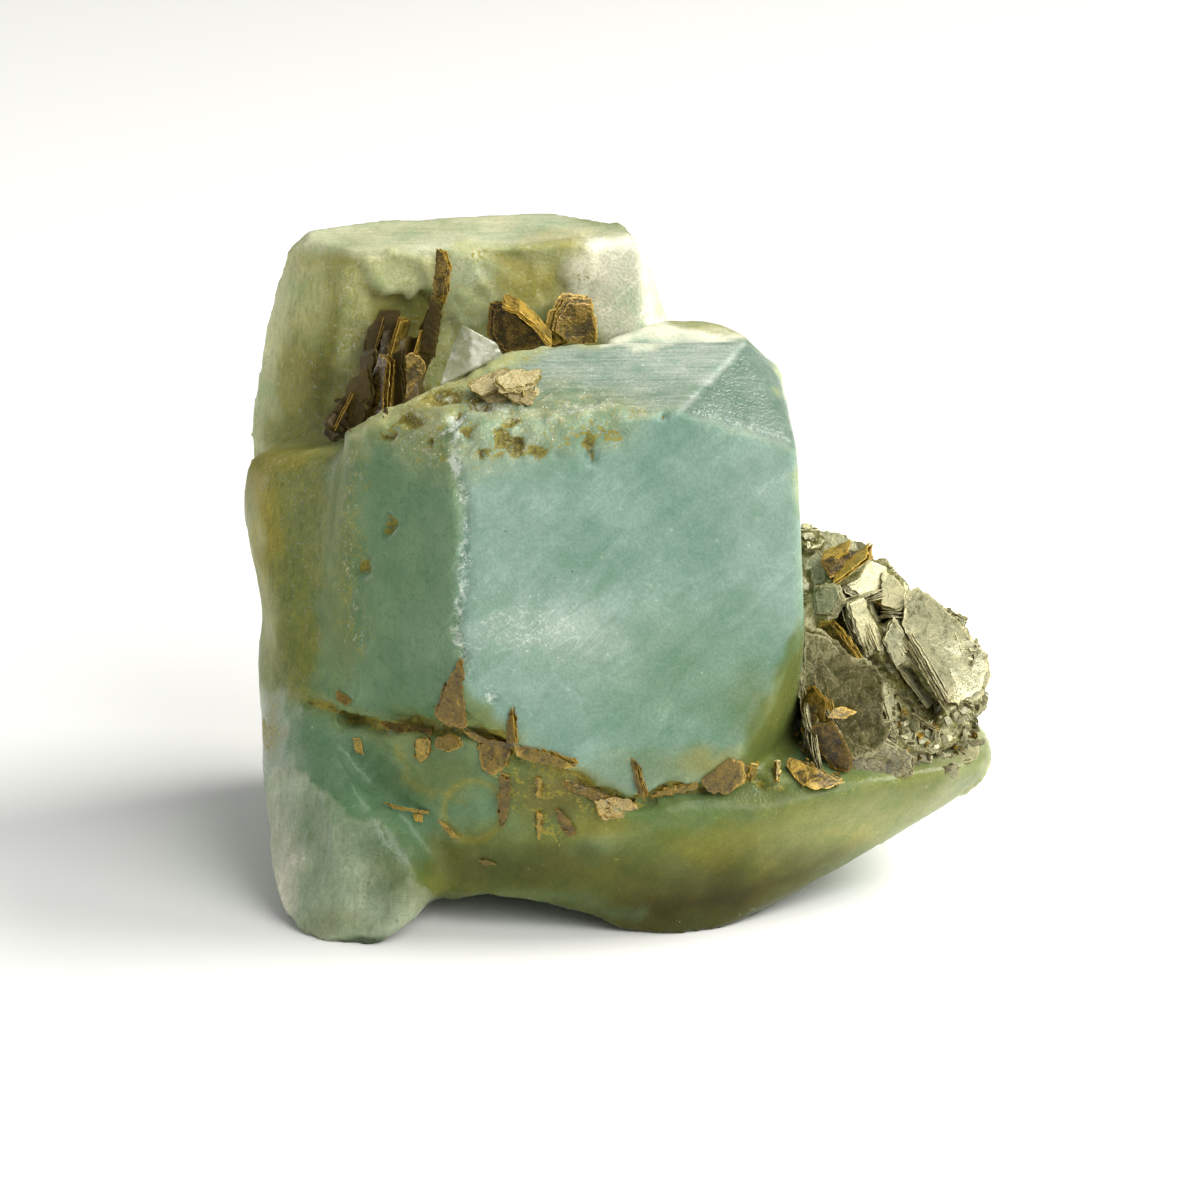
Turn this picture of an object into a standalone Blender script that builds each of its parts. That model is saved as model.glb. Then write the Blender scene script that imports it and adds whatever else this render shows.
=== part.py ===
"""Aquamarine specimen: a cluster of blue-green beryl crystals with muscovite mica.

A squat clear crystal stands in front of a taller, paler one. A pale glassy column
grows down the left side and is one of the feet, and a broad base carries a wing to
the right, on which a stack of silvery mica stands. More mica fills the pocket
between the two crystals and the seam under the front one, and a small wedge of
white quartz sits on top.

The beryl crystals grew together, so they are one solid. Every crystal is the convex
hull of the corners where its flat faces meet. The mica and the quartz are solids of
their own, cut back so that they clear the beryl by a hair.

Lengths are in millimetres here and in metres in the finished objects.
X runs to the right, Y away from the front, Z up, and the specimen rests on Z = 0
with the middle of its bounding box on the Z axis.
"""

import math
import random

import bmesh
import bpy
import numpy as np
from mathutils import Matrix, Vector

MM = 0.001

# Small working sizes
EDGE_WEAR = 0.45          # width of the worn bevel along a crystal's edges
MICA_GAP = 0.4            # room left between the beryl and what grew on it
SAME_FACE = math.radians(1.5)
LEAF_OVERLAP = 0.08       # how far a leaf of mica sinks into the next one
FLOOR_BLOCK = 60.0        # a block this large trims the feet flat
SMALLEST_EDGE = 0.002     # shorter edges than this are joined after a cut


# Planes and corners

def plane(azimuth, elevation, through):
    """A flat face as (normal, offset). Azimuth 0 faces the front, 90 the right."""
    turn = math.radians(azimuth)
    lift = math.radians(elevation)
    normal = (math.sin(turn) * math.cos(lift), -math.cos(turn) * math.cos(lift), math.sin(lift))
    return normal, float(np.dot(normal, through))


def corner(*planes, x=None, y=None, z=None):
    """The point where three conditions meet: planes, and fixed x, y or z."""
    rows = [normal for normal, offset in planes]
    values = [offset for normal, offset in planes]
    for axis, value in enumerate((x, y, z)):
        if value is not None:
            rows.append([1.0 if axis == i else 0.0 for i in range(3)])
            values.append(value)
    return tuple(np.linalg.solve(np.array(rows, float), np.array(values, float)))


def outline(face, points):
    """Corners on an upright face, given as they are seen from the front: (x, z)."""
    return [corner(face, x=x, z=z) for x, z in points]


def spread(face, points):
    """Corners on a lying face, given as they are seen from above: (x, y)."""
    return [corner(face, x=x, y=y) for x, y in points]


# Building solids

def clear_scene():
    for item in list(bpy.data.objects):
        bpy.data.objects.remove(item, do_unlink=True)


def place(name, mesh):
    body = bpy.data.objects.new(name, mesh)
    bpy.context.scene.collection.objects.link(body)
    return body


def discard(body):
    mesh = body.data
    bpy.data.objects.remove(body, do_unlink=True)
    bpy.data.meshes.remove(mesh)


def hull_of(corners):
    """The convex hull of the corners as a bmesh, with its flat faces in one piece."""
    bm = bmesh.new()
    for point in corners:
        bm.verts.new(point)
    hull = bmesh.ops.convex_hull(bm, input=bm.verts)
    inside = [item for item in hull["geom_interior"] if isinstance(item, bmesh.types.BMVert)]
    bmesh.ops.delete(bm, geom=inside, context="VERTS")
    bmesh.ops.recalc_face_normals(bm, faces=bm.faces)
    bmesh.ops.dissolve_limit(
        bm, angle_limit=SAME_FACE, verts=bm.verts, edges=bm.edges, use_dissolve_boundaries=False
    )
    bm.normal_update()
    return bm


def solid_from(bm):
    bmesh.ops.triangulate(bm, faces=bm.faces)
    bmesh.ops.recalc_face_normals(bm, faces=bm.faces)
    mesh = bpy.data.meshes.new("crystal")
    bm.to_mesh(mesh)
    bm.free()
    return place("crystal", mesh)


def crystal(corners, wear=0.0):
    """A convex solid on the corners, with its edges worn to a small bevel."""
    bm = hull_of(corners)
    if wear:
        bmesh.ops.bevel(
            bm, geom=list(bm.edges), offset=wear, segments=1, profile=0.5,
            affect="EDGES", clamp_overlap=True,
        )
    return solid_from(bm)


def grown(corners, gap):
    """The same solid with each of its faces moved out by the gap."""
    shape = hull_of(corners)
    low = Vector([min(c[i] for c in corners) - gap for i in range(3)])
    high = Vector([max(c[i] for c in corners) + gap for i in range(3)])
    bm = bmesh.new()
    bmesh.ops.create_cube(bm, size=1.0)
    bmesh.ops.scale(bm, vec=high - low, verts=bm.verts)
    bmesh.ops.translate(bm, vec=(low + high) / 2, verts=bm.verts)
    for face in shape.faces:
        bmesh.ops.bisect_plane(
            bm, geom=bm.verts[:] + bm.edges[:] + bm.faces[:], dist=1e-4,
            plane_co=face.calc_center_median() + face.normal * gap, plane_no=face.normal,
            clear_outer=True,
        )
        rim = [edge for edge in bm.edges if edge.is_boundary]
        if rim:
            bmesh.ops.holes_fill(bm, edges=rim)
    shape.free()
    return solid_from(bm)


def combine(body, other, operation):
    """Union or difference of two solids. The second one is used up."""
    step = body.modifiers.new("step", "BOOLEAN")
    step.operation = operation
    step.solver = "EXACT"
    step.object = other
    bpy.context.view_layer.update()
    evaluated = body.evaluated_get(bpy.context.evaluated_depsgraph_get())
    result = bpy.data.meshes.new_from_object(evaluated)
    body.modifiers.clear()
    old = body.data
    body.data = result
    bpy.data.meshes.remove(old)
    discard(other)
    return body


def fuse(body, other):
    return combine(body, other, "UNION")


def carve(body, other):
    return combine(body, other, "DIFFERENCE")


def lump(centre, radii, rng, points=10):
    """Corners of an irregular pebble, evenly spread over a rough ellipsoid."""
    corners = []
    for index in range(points):
        height = 1 - 2 * (index + 0.5) / points
        ring = math.sqrt(1 - height * height)
        angle = index * math.pi * (3 - math.sqrt(5)) + rng.uniform(-0.3, 0.3)
        reach = rng.uniform(0.8, 1.0)
        unit = (ring * math.cos(angle), ring * math.sin(angle), height)
        corners.append(tuple(c + r * u * reach for c, r, u in zip(centre, radii, unit)))
    return corners


def facing_matrix(centre, azimuth, elevation, turn):
    """Places a sheet that lies in XY so that its +Z side faces the given way."""
    normal = Vector(plane(azimuth, elevation, (0, 0, 0))[0])
    across = Vector((math.cos(math.radians(azimuth)), math.sin(math.radians(azimuth)), 0))
    up = normal.cross(across)
    frame = Matrix((across, up, normal)).transposed().to_4x4()
    return Matrix.Translation(centre) @ frame @ Matrix.Rotation(math.radians(turn), 4, "Z")


def sheet(centre, azimuth, elevation, turn, width, height, thick, rng, sides=6):
    """Corners of one sheet of mica: a six-sided plate with uneven sides."""
    start = rng.uniform(0, 0.5)
    rim = []
    for index in range(sides):
        angle = math.tau * (index + start) / sides + rng.uniform(-0.2, 0.2)
        reach = rng.uniform(0.88, 1.08)
        rim.append((reach * width / 2 * math.cos(angle), reach * height / 2 * math.sin(angle)))
    matrix = facing_matrix(centre, azimuth, elevation, turn)
    return [tuple(matrix @ Vector((x, y, side * thick / 2))) for x, y in rim for side in (-1, 1)]


def book(centre, azimuth, elevation, turn, width, height, thick, leaves, rng):
    """A book of mica: sheets one on the other, each a little out of line."""
    normal = Vector(plane(azimuth, elevation, (0, 0, 0))[0])
    leaf = thick / leaves
    sheets = []
    for index in range(leaves):
        offset = (index - (leaves - 1) / 2) * leaf
        slip = Vector((rng.uniform(-1, 1), rng.uniform(-1, 1), rng.uniform(-1, 1))) * 0.08 * width
        slip -= normal * slip.dot(normal)
        middle = Vector(centre) + normal * offset + slip
        size = rng.uniform(0.82, 1.0)
        sheets.append(sheet(
            middle, azimuth, elevation, turn + rng.uniform(-7, 7),
            width * size, height * size, leaf + LEAF_OVERLAP, rng,
        ))
    return sheets


def near(body, corners, margin=1.0):
    """True where the box round the corners comes close to the body's box."""
    low = [min(v.co[i] for v in body.data.vertices) - margin for i in range(3)]
    high = [max(v.co[i] for v in body.data.vertices) + margin for i in range(3)]
    return all(
        min(c[i] for c in corners) < high[i] and max(c[i] for c in corners) > low[i]
        for i in range(3)
    )


def clear_of(body, solids, gap=MICA_GAP):
    """Cuts a body back so that it clears the convex solids given by their corners."""
    for corners in solids:
        if body.data.vertices and near(body, corners):
            carve(body, grown(corners, gap))
    return body


def keep_largest(bm):
    """Deletes crumbs that a cut has left loose beside the main piece."""
    groups = []
    seen = set()
    for start in bm.verts:
        if start in seen:
            continue
        group, queue = [], [start]
        seen.add(start)
        while queue:
            vert = queue.pop()
            group.append(vert)
            for edge in vert.link_edges:
                other = edge.other_vert(vert)
                if other not in seen:
                    seen.add(other)
                    queue.append(other)
        groups.append(group)
    groups.sort(key=len)
    for group in groups[:-1]:
        bmesh.ops.delete(bm, geom=group, context="VERTS")


def finish(body, name, material):
    """Cleans a solid, turns it into metres and gives it its name and material."""
    bm = bmesh.new()
    bm.from_mesh(body.data)
    keep_largest(bm)
    bmesh.ops.remove_doubles(bm, verts=bm.verts, dist=SMALLEST_EDGE)
    bmesh.ops.dissolve_degenerate(bm, dist=SMALLEST_EDGE / 2, edges=bm.edges)
    bmesh.ops.triangulate(bm, faces=bm.faces)
    bmesh.ops.recalc_face_normals(bm, faces=bm.faces)
    bmesh.ops.scale(bm, vec=(MM, MM, MM), verts=bm.verts)
    bm.to_mesh(body.data)
    bm.free()
    body.name = name
    body.data.name = name
    body.data.materials.clear()
    body.data.materials.append(material)
    return body


def material(name, colour, roughness, transmission=0.0, ior=1.58):
    finish_of = bpy.data.materials.new(name)
    finish_of.use_nodes = True
    shader = finish_of.node_tree.nodes["Principled BSDF"]
    shader.inputs["Base Color"].default_value = (*colour, 1.0)
    shader.inputs["Roughness"].default_value = roughness
    shader.inputs["Metallic"].default_value = 0.0
    shader.inputs["Transmission Weight"].default_value = transmission
    shader.inputs["IOR"].default_value = ior
    finish_of.diffuse_color = (*colour, 1.0)
    return finish_of


# The crystals' main faces

FRONT_FACE = plane(7, 5, (5.1, -16.2, 46.15))
FRONT_LEFT = plane(-42, 3, (-13.3, -19.5, 34.5))
FRONT_TOP = plane(-4, 74, (5.1, -16.2, 46.15))
BACK_FACE = plane(2, 4, (-22.8, 8.3, 52.7))
BACK_TAN = plane(-32, 8, (-22.8, 8.3, 52.7))
BACK_TOP = plane(0, 84, (-22.8, 8.3, 52.7))
BACK_REAR = plane(178, 3, (-10.0, 19.6, 30.0))
SHOULDER_TOP = plane(50, 84, (4.3, 7.5, 46.7))
SIDE_FACE = plane(-38, 12, (-24.9, -8.6, 26.6))
COLUMN_FACE = plane(-14, 10, (-20.0, -18.0, 9.0))
BASE_LEFT = plane(-27, -6, (-26.9, -11.0, 17.9))
BASE_FACE = plane(-8, -8, (1.9, -20.1, 12.8))


def front_crystal():
    """The squat clear crystal: a broad front face, a left face, a top and a small corner face."""
    corners = [
        corner(FRONT_FACE, FRONT_TOP, x=5.1),
        corner(FRONT_FACE, FRONT_TOP, FRONT_LEFT),
        corner(FRONT_FACE, FRONT_LEFT, z=22.5),
    ]
    corners += outline(FRONT_FACE, [
        (14.8, 42.8), (15.5, 28.3), (13.0, 21.3), (10.0, 15.8), (6.1, 13.9),
        (0.9, 12.9), (-4.8, 15.4), (-8.1, 18.2),
    ])
    corners += outline(FRONT_LEFT, [(-22.8, 42.5), (-24.6, 30.9), (-25.0, 18.1)])
    corners += spread(FRONT_TOP, [(10.6, -6.1), (-1.4, -6.1), (-8.1, -6.9), (-14.7, -11.6)])
    corners += [
        (13.7, -3.5, 45.9), (15.7, -8.5, 22.5), (15.4, -7.5, 16.2), (13.7, -8.5, 10.2),
        (11.0, 5.5, 44.0), (14.0, 4.5, 36.0), (14.2, 4.5, 20.0), (12.0, 3.5, 12.0),
        (-24.0, 4.5, 14.0), (-22.0, 3.5, 38.0), (0.0, 1.5, 9.0),
    ]
    return corners


def back_crystal():
    """The tall pale crystal behind, with its tan front-left face and its worn top."""
    corners = [
        corner(BACK_FACE, BACK_TOP, x=-1.4),
        corner(BACK_FACE, BACK_TAN, BACK_TOP),
        corner(BACK_FACE, BACK_TAN, z=22.0),
        corner(BACK_TAN, BACK_TOP, x=-26.5),
    ]
    corners += outline(BACK_FACE, [(0.6, 43.0), (3.0, 30.0)])
    corners += outline(BACK_TAN, [(-28.0, 45.0), (-29.6, 35.5), (-30.0, 24.0)])
    corners += spread(BACK_TOP, [(2.0, 9.0), (0.4, 13.7), (-5.8, 17.0), (-21.3, 14.8), (-26.6, 12.8)])
    corners += outline(BACK_REAR, [(-20.0, 2.0), (4.0, 1.5), (-3.0, 46.0), (-23.5, 46.0)])
    corners += [
        (-28.4, 13.2, 51.4), (-30.6, 13.0, 43.9), (-32.0, 12.5, 35.5), (-31.9, 12.5, 33.0),
        (3.0, 12.5, 47.8), (4.5, 14.5, 44.5), (4.5, 17.5, 42.6),
        (9.0, 14.0, 4.0), (-29.6, 14.5, 14.0), (-27.5, 17.5, 47.0),
    ]
    return corners


def shoulder_crystal():
    """The pale ledge that shows behind the front crystal, on the right."""
    corners = spread(SHOULDER_TOP, [(-1.4, 1.5), (4.3, 7.8), (8.6, 8.0), (10.8, 5.6), (11.5, 2.5)])
    corners += [
        (2.0, 13.5, 43.4), (8.5, 14.0, 42.6),
        (13.5, 2.5, 44.2), (14.7, 7.5, 38.6), (14.6, 10.5, 34.0), (12.6, 13.5, 38.0),
        (12.0, 16.5, 20.0), (14.0, 14.0, 9.0), (0.0, 15.5, 10.0), (14.0, -0.5, 14.0),
        (-2.0, -0.5, 20.0),
    ]
    return corners


def side_crystal():
    """The olive flank on the left, below the tan face."""
    corners = outline(SIDE_FACE, [
        (-22.0, 40.0), (-22.5, 18.0), (-29.1, 37.5), (-30.3, 33.8), (-29.6, 24.6), (-27.2, 16.6),
    ])
    corners += [
        (-31.6, 4.5, 35.7), (-32.2, 2.5, 32.3), (-31.7, 1.5, 28.8), (-30.6, 0.5, 23.1),
        (-30.0, 13.5, 34.0), (-29.0, 13.5, 16.0), (-20.0, 11.5, 36.0), (-20.0, 9.5, 12.0),
    ]
    return corners


def column_crystal():
    """The pale glassy column at the lower left, whose end is the left foot."""
    corners = outline(COLUMN_FACE, [
        (-25.5, -0.6), (-20.8, -0.3), (-18.3, 2.2), (-16.2, 3.2), (-15.9, 6.3),
        (-18.2, 9.2), (-20.3, 11.1), (-22.4, 13.7),
    ])
    corners += [
        (-28.2, -15.5, 1.0), (-29.0, -13.5, 2.6), (-30.0, -8.5, 7.0), (-30.7, -4.5, 12.3),
        (-30.9, -1.5, 19.8), (-30.6, 0.5, 23.7), (-26.8, -12.6, 14.0), (-29.0, 9.5, 14.0),
        (-27.0, 8.5, 3.0), (-18.0, 7.5, 1.5), (-12.0, -0.5, 1.5),
    ]
    return corners


def base_crystal():
    """The broad base: the dark face under the front crystal and the wing to the right."""
    corners = outline(BASE_LEFT, [
        (-26.8, 18.5), (-27.4, 11.7), (-22.9, 8.4), (-16.9, 3.0), (-15.1, 2.4),
    ])
    corners += outline(BASE_FACE, [(-12.0, 3.8), (-12.3, 18.4), (-3.9, 15.1), (1.9, 12.8)])
    ridge = [
        (2.6, -19.8, 10.3), (12.1, -18.5, 11.7), (22.3, -14.0, 12.6),
        (30.5, -8.5, 11.7), (32.2, -4.5, 12.0), (32.0, -1.5, 12.4),
    ]
    keel = [
        (0.2, -16.6, 1.6), (4.6, -17.0, -0.6), (8.6, -15.8, -0.5), (10.9, -14.0, 0.8),
        (19.0, -10.5, 3.2), (25.1, -8.0, 6.3), (28.5, -7.0, 7.9), (31.4, -6.0, 9.8),
    ]
    rear = [
        (15.4, -13.0, 13.0), (29.2, -7.5, 12.6), (28.5, 8.5, 12.0), (26.5, 10.0, 10.5),
        (21.5, 11.0, 7.0), (14.0, 15.0, 5.0), (12.0, 15.5, 18.0), (10.0, 16.5, -0.5),
        (-18.0, 17.0, -0.5), (-22.0, 17.5, 5.0), (-22.0, 17.0, 18.0),
    ]
    return corners + ridge + keel + rear


def pocket_floor():
    """The beryl between the crystals, whose top is the floor of the mica pocket."""
    return [
        (-25.0, -6.0, 8.0), (-25.0, 9.0, 8.0), (-24.0, -3.0, 37.0), (-24.5, 9.0, 37.5),
        (5.0, -6.0, 12.0), (5.0, 10.0, 12.0), (4.0, -4.0, 40.0), (4.0, 10.0, 41.5),
        (-12.0, -4.0, 40.0), (-12.0, 10.0, 40.5),
    ]


# Ridges of parallel growth on the back: (x, y, low z, high z, half width, proud)
GROWTH_RIDGES = [
    (-15.5, 18.4, 9.0, 40.0, 6.5, 0.9),
    (-3.5, 17.6, 14.0, 36.0, 4.5, 0.8),
]
REAR_LEAN = 0.02          # how far the ridges lean back for each millimetre of height


def growth_ridge(x, y, low, high, half, proud):
    """A slim crystal grown parallel to the back face, standing a little proud of it."""
    corners = []
    for z, pinch in ((low, 0.6), (low + 2.0, 1.0), (high - 1.5, 1.0), (high, 0.5)):
        corners += [
            (x - half * pinch, y - 3.0, z), (x + half * pinch, y - 3.0, z),
            (x - half * 0.85 * pinch, y + proud * pinch + z * REAR_LEAN, z),
            (x + half * 0.85 * pinch, y + proud * pinch + z * REAR_LEAN, z),
        ]
    return corners


def crust_lumps():
    """The whitish knobbly crust along the upper front edge, as small pebbles sunk in it."""
    rng = random.Random(41)
    lumps = []
    for index in range(15):
        share = index / 14
        x = -12.8 + 15.6 * share + rng.uniform(-0.5, 0.5)
        edge = corner(FRONT_FACE, FRONT_TOP, x=x)
        size = rng.uniform(1.1, 1.7) * (1 - 0.5 * share)
        centre = (x, edge[1] + 0.8, edge[2] - 0.3 - rng.uniform(0, 0.4))
        lumps.append(lump(centre, (size * 1.25, size * 0.95, size), rng))
    for index in range(9):
        share = index / 8
        x = -14.0 - 7.8 * share
        z = 44.6 - 2.4 * share + rng.uniform(-0.3, 0.2)
        face = corner(FRONT_LEFT, x=x, z=z)
        size = rng.uniform(1.0, 1.5)
        centre = (x + 0.5, face[1] + 0.8, z - 0.4)
        lumps.append(lump(centre, (size * 1.2, size, size), rng))
    return lumps


# Pits in the crust, as seen from the front: (x, z, radius)
CRUST_PITS = [
    (-12.4, 43.4, 0.9), (-10.0, 42.3, 0.7), (-8.4, 43.9, 1.0), (-6.9, 41.6, 0.6),
    (-4.9, 43.0, 0.8), (-2.9, 44.2, 0.6), (-2.0, 42.4, 1.0), (-0.6, 41.1, 0.5),
]


def crust_pits():
    rng = random.Random(52)
    pits = []
    for x, z, radius in CRUST_PITS:
        surface = corner(FRONT_FACE, x=x, z=z)
        pits.append(lump((x, surface[1], z), (radius * 1.2, radius * 0.8, radius), rng, 8))
    return pits


def edge_chips():
    """Conchoidal nicks down the worn edge between the front face and the left face."""
    rng = random.Random(63)
    chips = []
    z = 24.0
    while z < 43.5:
        edge = corner(FRONT_FACE, FRONT_LEFT, z=z)
        size = rng.uniform(0.55, 1.15)
        centre = (edge[0] + rng.uniform(-0.5, 0.4), edge[1] - 0.25, z)
        chips.append(lump(centre, (size, size * 0.7, size * 1.5), rng, 8))
        z += rng.uniform(1.3, 2.4)
    return chips


# Shallow shell-shaped scars: (centre, radii). The first three are on the tall crystal's
# face, then two nicks in the left outline, the corner of the front crystal and the rear.
SCARS = [
    ((-18.5, 7.4, 47.0), (3.2, 1.5, 3.6)),
    ((-11.0, 7.6, 48.6), (4.2, 1.2, 3.0)),
    ((-3.2, 8.0, 49.3), (3.2, 1.3, 3.0)),
    ((-32.4, 8.0, 33.9), (1.0, 3.0, 0.8)),
    ((-32.6, 5.5, 30.3), (0.9, 3.0, 0.9)),
    ((15.9, -11.0, 31.0), (0.8, 2.6, 2.2)),
    ((11.5, 17.6, 26.0), (4.0, 2.0, 6.0)),
    ((-29.5, 19.0, 38.0), (3.0, 2.2, 5.0)),
    ((25.5, 11.4, 9.0), (4.0, 1.6, 3.0)),
]


def scars():
    rng = random.Random(74)
    return [lump(centre, radii, rng, 14) for centre, radii in SCARS]


# The seam under the front crystal, as seen from the front: (x, z)
SEAM = [(-23.6, 17.5), (-15.5, 17.9), (-8.6, 17.2), (-1.4, 13.4), (1.6, 12.6), (8.0, 14.2), (11.6, 16.4)]
SEAM_HALF_WIDTH = 0.45
SEAM_DEPTH = 1.3


def seam_cuts():
    """Narrow wedges along the seam, each from one point of its line to the next."""
    cuts = []
    for (x0, z0), (x1, z1) in zip(SEAM, SEAM[1:]):
        wedge = []
        for x, z in ((x0, z0), (x1, z1)):
            face = FRONT_LEFT if x < -13.2 else FRONT_FACE
            y = corner(face, x=x, z=z)[1]
            wedge += [
                (x, y - 2.0, z - 2.5 * SEAM_HALF_WIDTH), (x, y - 2.0, z + 2.5 * SEAM_HALF_WIDTH),
                (x, y + SEAM_DEPTH, z - 0.1), (x, y + SEAM_DEPTH, z + 0.1),
            ]
        cuts.append(wedge)
    return cuts


def arch_cuts():
    """The hollow between the left foot and the middle foot, and the hollow underneath."""
    arch = []
    for y, lift in ((-26.0, 1.0), (6.0, 0.55)):
        arch += [
            (-15.0, y, -3.0), (-14.2, y, 2.2 * lift), (-11.6, y, 3.9 * lift),
            (-7.5, y, 3.6 * lift), (-1.5, y, 1.6 * lift), (3.4, y, -3.0),
        ]
    rng = random.Random(85)
    return [arch, lump((-4.0, 1.5, -4.6), (21.0, 14.5, 7.8), rng, 24)]


def floor_block():
    size = FLOOR_BLOCK
    return [(x, y, z) for x in (-size, size) for y in (-size, size) for z in (-size / 2, 0.0)]


def beryl_bodies():
    return [
        front_crystal(), back_crystal(), shoulder_crystal(), side_crystal(),
        column_crystal(), base_crystal(), pocket_floor(),
    ]


def build_aquamarine(finish_of):
    bodies = beryl_bodies()
    body = crystal(bodies[0], wear=EDGE_WEAR)
    for corners in bodies[1:]:
        fuse(body, crystal(corners, wear=EDGE_WEAR))
    for ridge in GROWTH_RIDGES:
        fuse(body, crystal(growth_ridge(*ridge), wear=EDGE_WEAR / 2))
    for corners in crust_lumps():
        fuse(body, crystal(corners))
    for corners in scars() + crust_pits() + edge_chips() + seam_cuts() + arch_cuts():
        carve(body, crystal(corners))
    carve(body, crystal(floor_block()))
    return finish(body, "aquamarine", finish_of)


def build_on(taken, name, sheets, finish_of, core=None, hollows=()):
    """A piece grown on the rest: a core, less its hollows, and the sheets fused to it.

    It is cut back to clear the solids in taken, and then joins them."""
    parts = list(sheets)
    body = crystal(core if core else parts[0])
    for hollow in hollows:
        carve(body, crystal(hollow))
    for corners in parts if core else parts[1:]:
        fuse(body, crystal(corners))
    clear_of(body, taken)
    if not body.data.vertices:
        raise ValueError(name + " lies inside what it grows on")
    taken += parts + ([core] if core else [])
    return finish(body, name, finish_of)


# The mica. A cut sheet is an upright or leaning plane (azimuth, elevation, a point on
# it), its outline as seen from the front (x, z), its thickness and its leaves.
STACK_SHEETS = [
    (-6, 10, (19.0, -11.2, 17.5), [
        (16.5, 18.6), (17.3, 22.5), (19.6, 22.6), (21.1, 22.0), (21.9, 19.7), (22.0, 16.3),
        (21.0, 13.6), (18.2, 13.2), (16.5, 14.6)], 1.6, 2),
    (-30, 30, (19.1, -6.5, 22.3), [
        (17.3, 23.9), (18.3, 23.5), (19.8, 22.3), (21.2, 21.2), (20.2, 20.7), (18.1, 21.3),
        (16.8, 22.2)], 1.2, 2),
    (-10, 20, (21.1, -5.0, 22.8), [
        (19.6, 25.1), (21.0, 25.5), (22.8, 22.2), (22.7, 20.0), (21.3, 21.0), (20.5, 21.8)], 3.4, 3),
    (-10, 20, (23.5, -4.5, 21.6), [
        (23.0, 23.6), (23.9, 23.8), (24.5, 21.9), (24.6, 19.7), (23.7, 19.6), (22.4, 21.8)], 3.0, 2),
    (-10, 20, (26.3, -5.5, 19.5), [
        (24.3, 23.1), (25.2, 22.0), (28.0, 17.3), (27.6, 16.5), (26.2, 17.7), (24.1, 21.0)], 3.0, 2),
    (32, 34, (28.3, -2.5, 20.7), [
        (24.7, 23.1), (25.5, 24.6), (27.3, 24.0), (29.9, 22.0), (31.6, 19.7), (31.5, 16.9),
        (28.2, 16.5), (26.3, 19.3)], 2.2, 3),
    (5, 50, (23.2, -0.5, 25.6), [
        (21.4, 27.1), (23.0, 27.3), (25.3, 25.4), (25.0, 24.2), (23.8, 24.0), (21.5, 24.6)], 1.6, 2),
    (-8, 62, (19.6, -1.5, 27.4), [
        (17.5, 27.2), (19.5, 28.2), (21.5, 28.1), (20.9, 27.4), (18.8, 26.6), (17.8, 26.7)], 1.4, 2),
    (0, 12, (18.2, -12.6, 15.6), [
        (16.2, 17.8), (17.6, 18.0), (19.0, 16.4), (19.6, 13.6), (18.6, 12.6), (17.0, 12.8)], 1.4, 2),
]
# A loose book is its middle, the way it faces (azimuth, elevation, turn), its width,
# height and thickness, and its leaves.
STACK_BOOKS = [
    ((17.6, -3.4, 24.6), -12, 32, 0, 3.8, 4.8, 1.2, 1),
    ((16.6, 1.4, 28.4), 20, 60, 0, 3.6, 3.6, 1.4, 1),
    ((17.0, -8.6, 20.4), 58, 8, 0, 4.4, 6.0, 1.0, 2),
    ((29.4, -5.8, 14.8), 30, 30, 15, 4.6, 4.2, 1.4, 2),
    ((22.6, -10.6, 14.4), 5, 35, 40, 4.6, 3.4, 1.4, 2),
    ((25.6, -9.0, 14.6), 15, 30, 15, 4.4, 3.4, 1.4, 2),
    ((27.6, -7.4, 14.0), 40, 60, 10, 3.6, 3.0, 1.2, 2),
    ((30.3, -1.8, 15.8), 60, 20, 0, 5.2, 5.0, 1.4, 2),
    ((20.4, 5.4, 21.4), 172, 24, 6, 7.6, 9.4, 1.8, 2),
    ((26.0, 5.0, 18.4), 150, 32, -8, 7.0, 7.4, 1.8, 2),
    ((29.8, 2.4, 16.6), 105, 24, 0, 5.0, 5.0, 1.4, 1),
    ((18.2, 7.0, 17.0), 196, 12, 0, 5.6, 5.8, 1.2, 1),
    ((22.8, 1.6, 25.0), 120, 66, 0, 5.0, 4.0, 1.0, 1),
]
STACK_CORE = [
    (14.8, 1.0, 28.0), (17.0, 2.0, 28.4), (22.0, 2.0, 25.8), (27.4, 2.0, 21.6), (30.4, 1.0, 17.4),
    (30.4, -1.0, 12.4), (29.4, -5.4, 12.4), (24.4, -10.6, 12.4), (15.6, -12.6, 12.6),
    (15.6, -12.0, 15.0), (15.4, -9.0, 18.0), (15.0, -4.4, 24.6), (14.8, 5.4, 24.0), (26.0, 5.0, 18.0),
    (29.0, 4.4, 12.4), (16.0, 7.0, 12.4),
]
# The dark crevice that runs down between the leaning books
STACK_HOLLOW = [
    (22.8, -9.0, 19.8), (24.2, -9.0, 20.4), (28.8, -8.0, 15.6), (27.6, -9.4, 15.0),
    (23.2, -12.0, 16.2), (24.4, -3.6, 18.4), (26.2, -3.6, 16.6),
]
BROKEN_MICA_LEAF = [
    (-20, 20, (15.9, -15.8, 14.0), [
        (14.4, 15.4), (15.4, 15.6), (17.2, 14.8), (17.7, 13.7), (15.9, 13.3), (14.6, 13.6)], 2.4, 3),
]

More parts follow.
